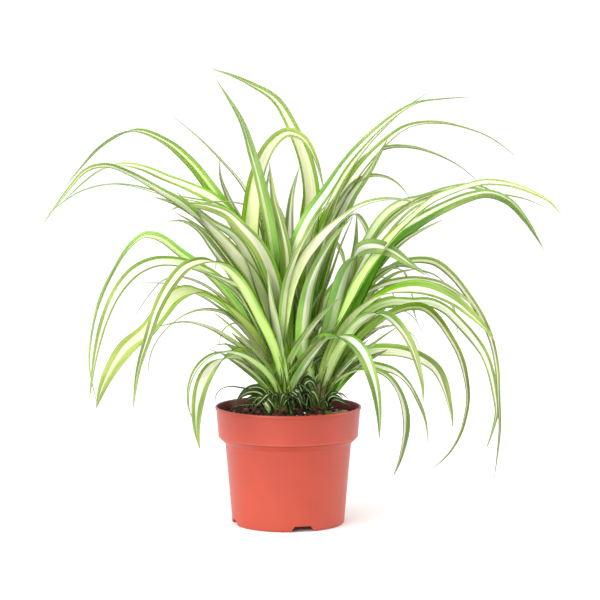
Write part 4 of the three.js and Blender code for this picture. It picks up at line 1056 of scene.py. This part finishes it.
# The back rosette: a third plant behind the two, with the tallest leaves, and those that fall to the back.
# It is one plant of leaves and stock too, and its crown is hidden from the front.
BACK_STAND = (6, 31)
ROSETTE_BACK_LEAVES = [
    Leaf(CREAM, 21.5, 60, [(7, 150), (10, 195), (15.5, 240), (18.5, 270), (14, 298), (5, 321), (-10, 347),
         (-30, 360), (-45, 367), (-62, 373)], show=(1.2, 1.2, 0.2, 0), broadest=0.15),
    Leaf(BRIGHT, 15, [22, 14, 9, 7, 9, 14, 20, 27, 34, 40, 46], [(1, 150), (1, 195), (7, 228), (18, 252),
         (32, 272), (48, 296), (65, 315), (85, 333), (104, 344.5), (124, 348), (146, 350)],
         show=(1.2, 1.2, 0.5, 0.3)),
    Leaf(FRESH, 8, 45, [(8, 150), (16, 200), (30, 252), (46, 285), (64, 310), (82, 329), (98, 343),
         (113, 353)]),
    Leaf(SILVER, 14, 55, [(10, 160), (17, 205), (30, 243), (45, 269), (60, 291.5), (78, 311), (97, 325),
         (120, 328.5), (142, 325), (164, 317), (184, 303)], show=(1.4, 1.2, 0.3, 0.2)),
    Leaf(DEEP, 7, 70, [(14, 160), (24, 210), (38, 255), (52, 287), (66, 303), (84, 309.5), (104, 308.5),
         (124, 302), (140, 293.5), (153, 283)], show=1),
    Leaf(PALE, 11, 25, [(15, 160), (24, 210), (34, 245), (45, 267), (56, 281), (68, 286), (82, 284),
         (92, 277), (99, 268)], show=(1, 1.2, 0.8)),
    Leaf(FRESH, 7, -5, [(10, 150), (14, 200), (22, 245), (32, 276), (42, 288), (52, 296)]),
    Leaf(BRIGHT, 11, 20, [(18, 160), (28, 205), (40, 237), (51, 259), (58, 274)], show=1.2),
    Leaf(SILVER, 14, 40, [(3, 160), (1, 210), (1, 248), (3, 270), (9, 293)], show=1.2),
    Leaf(MEADOW, 15.5, 118, [(8, 150), (4, 200), (-6, 245), (-14, 262), (-20, 255), (-24, 232), (-24, 205)]),
    Leaf(FRESH, 14.5, 112, [(10, 160), (12, 215), (16, 262), (19, 280), (22, 272), (26, 245), (26, 215)]),
    Leaf(BRIGHT, 12, 100, [(14, 150), (24, 200), (40, 243), (52, 255), (62, 246), (68, 225), (70, 205)]),
    Leaf(FRESH, 10, 90, [(14, 140), (26, 175), (44, 200), (60, 204), (70, 196), (76, 180), (78, 162)]),
    Leaf(MEADOW, 11, 115, [(8, 130), (4, 155), (-4, 175), (-10, 178), (-16, 165), (-18, 145)]),
    Leaf(GREY, 11, 105, [(14, 130), (22, 155), (32, 172), (42, 174), (50, 160), (52, 142)]),
    Leaf(FRESH, 12, 118, [(10, 150), (16, 190), (26, 222), (36, 232), (44, 222), (48, 200)]),
    Leaf(BRIGHT, 11, 100, [(8, 150), (0, 190), (-12, 222), (-24, 232), (-34, 222), (-38, 203)]),
    Leaf(MEADOW, 11, 118, [(9, 135), (8, 165), (6, 180), (4, 172), (2, 150), (0, 122), (0, 100)]),
    Leaf(FRESH, 10, 110, [(12, 135), (18, 165), (24, 178), (28, 168), (30, 145), (30, 122)]),
    Leaf(LIME, 9, 15, [(4, 150), (0, 200), (-6, 245), (-16, 284)], show=1.2),
    Leaf(CREAM, 10, 10, [(14, 150), (22, 200), (32, 240), (42, 272), (52, 292)], show=1),
    Leaf(CREAM, 17, 20, [(14, 160), (26, 205), (40, 245), (52, 269), (64, 286), (74, 303), (81, 316)],
         show=2.2),
    Leaf(DEEP, 16, 2, [(12, 140), (20, 190), (28, 225), (37, 252), (48, 270)], show=1.2),
    Leaf(MEADOW, 12, -12, [(6, 150), (5, 200), (-1, 236), (-8, 258), (-13.5, 274)], show=1.4),
    *inner_leaves(BACK_STAND, 24, -26, 36, 95, 150, seed=8),
]
grow("rosette_back", BACK_STAND, 7, ROSETTE_BACK_LEAVES, 201)


# The young plants: five seedlings at soil level, each a tuft of narrow leaves on a thin stock of its own.
# Their leaves are dark green with a thin pale stripe along the middle.
FAR_LEFT_LEAVES = [
    Leaf(YOUNG, 2.8, 16, [(-25, 106), (-31, 109.5), (-40, 111.8), (-49, 112.6), (-56, 110), (-59.5, 105),
         (-60, 99.5)]),
    Leaf(YOUNG, 8, 4, [(-20, 103), (-25, 107.2), (-32, 107.6), (-38, 104.8), (-43, 99.5)], show=1.2),
    Leaf(YOUNG, 6, 12, [(-18, 107), (-22, 111.3), (-28, 112.3), (-34, 110.5), (-39, 106.5), (-42.5, 101)],
         show=1.2),
    Leaf(OLIVE, 4, 20, [(-17, 109), (-21, 113.5), (-27, 114.2), (-33, 111.8), (-36, 109)]),
    Leaf(YOUNG, 6, -4, [(-19, 100), (-23, 103.5), (-29, 103.8), (-34, 101.5), (-37, 98)], show=1),
    Leaf(YOUNG, 3.4, -18, [(-22, 97), (-29, 97.6), (-37, 97.2), (-44, 96), (-49, 92.8)], show=0.8),
    Leaf(YOUNG, 6, 0, [(-21, 99), (-25, 101.5), (-29, 99.5), (-31, 95.5)], show=1),
]
NEAR_LEFT_LEAVES = [
    Leaf(YOUNG, 4.6, -14, [(-15.5, 99), (-16.5, 105.6), (-21, 102), (-25.5, 97.3), (-30, 92)], show=0.8),
    Leaf(YOUNG, 3.4, 3, [(-15.5, 103), (-16.5, 110.8), (-13.5, 108), (-9.5, 102.5), (-7, 97)]),
    Leaf(YOUNG, 5, -16, [(-16, 98), (-17, 103), (-14.5, 100.5), (-12, 96.5), (-9.7, 91)], show=0.8),
    Leaf(YOUNG, 6, 4, [(-18, 97), (-21, 103), (-25, 103), (-28, 98.5), (-29.5, 94)], show=1),
    Leaf(GREY, 5, -12, [(-17, 96), (-19.5, 99.5), (-17.5, 97), (-14.5, 93)]),
    Leaf(YOUNG, 5.5, 6, [(-14, 98), (-12.5, 106), (-9.5, 106), (-8, 100), (-7, 94)], show=1),
]
FRONT_LEAVES = [
    Leaf(YOUNG, 5.4, -8, [(1.5, 101), (2.2, 108.3), (6, 106.2), (10, 101.5), (13.5, 97.8), (17.2, 94.8)],
         show=1),
    Leaf(YOUNG, 5.5, -6, [(0, 99), (-1.5, 105.5), (-4, 106.5), (-6, 101.5), (-7, 95.5)], show=1),
    Leaf(YOUNG, 5.5, -9, [(3, 98), (5, 103.5), (8, 103), (10, 98.5), (11, 94)], show=1),
    Leaf(YOUNG, 5, -8, [(1, 97), (0.5, 104), (2.5, 104.5), (4, 100), (5, 94)], show=1),
    Leaf(OLIVE, 5, 5, [(2, 100), (4, 107), (7.5, 109), (10, 105), (12, 99)]),
    Leaf(YOUNG, 5, -8, [(1, 97), (-0.5, 101.5), (-2.5, 100), (-4, 94.5)], show=1),
]
MIDDLE_LEAVES = [
    Leaf(YOUNG, 4.4, -12, [(12.5, 106), (8.8, 114.4), (12.5, 112.6), (17, 108.4), (22, 101)], show=1),
    Leaf(YOUNG, 9, -3, [(14, 106), (14.5, 115), (18.5, 117), (22, 112.5), (24, 105)], show=1.2),
    Leaf(YOUNG, 6, 4, [(12.5, 104), (10, 112), (6, 112.5), (3.5, 108.5)], show=1),
    Leaf(YOUNG, 7, -14, [(16, 103), (19, 108.5), (22, 107), (24.5, 101), (25.5, 95)], show=1),
    Leaf(YOUNG, 8, 6, [(15, 108), (13, 117), (16, 120), (19, 118), (21, 112)], show=1),
    Leaf(YOUNG, 7, -10, [(14, 101), (13, 106), (15, 107), (18, 102), (19, 96)], show=1),
]
RIGHT_LEAVES = [
    Leaf(YOUNG, 5, -12, [(35, 99), (38, 101.6), (42, 101), (46, 99), (51, 96.6)], show=1.2),
    Leaf(YOUNG, 5.5, -8, [(31, 99.5), (28, 102), (26, 100), (24, 97)], show=1.2),
    Leaf(YOUNG, 6, -2, [(33, 101), (35, 104), (39, 104.5), (43, 102.5), (47, 99.5)], show=1),
    Leaf(OLIVE, 5, 22, [(35, 104), (39, 107), (44, 106.3), (49, 102.8)]),
    Leaf(YOUNG, 5, 14, [(34, 104), (37, 107.5), (41, 107), (45, 103.5)], show=1),
]
young_plants = (
    ("young_plant_far_left", (-19, 4), FAR_LEFT_LEAVES, 301),
    ("young_plant_near_left", (-15, -24), NEAR_LEFT_LEAVES, 311),
    ("young_plant_front", (2, -27), FRONT_LEAVES, 321),
    ("young_plant_middle", (15, -7), MIDDLE_LEAVES, 331),
    ("young_plant_right", (33, -6), RIGHT_LEAVES, 341),
)
for young_name, young_stand, young_leaves, young_number in young_plants:
    grow(young_name, young_stand, 3, young_leaves, young_number,
         station_gap=2, cells=6, thickness=0.4, stock_look=YOUNG)
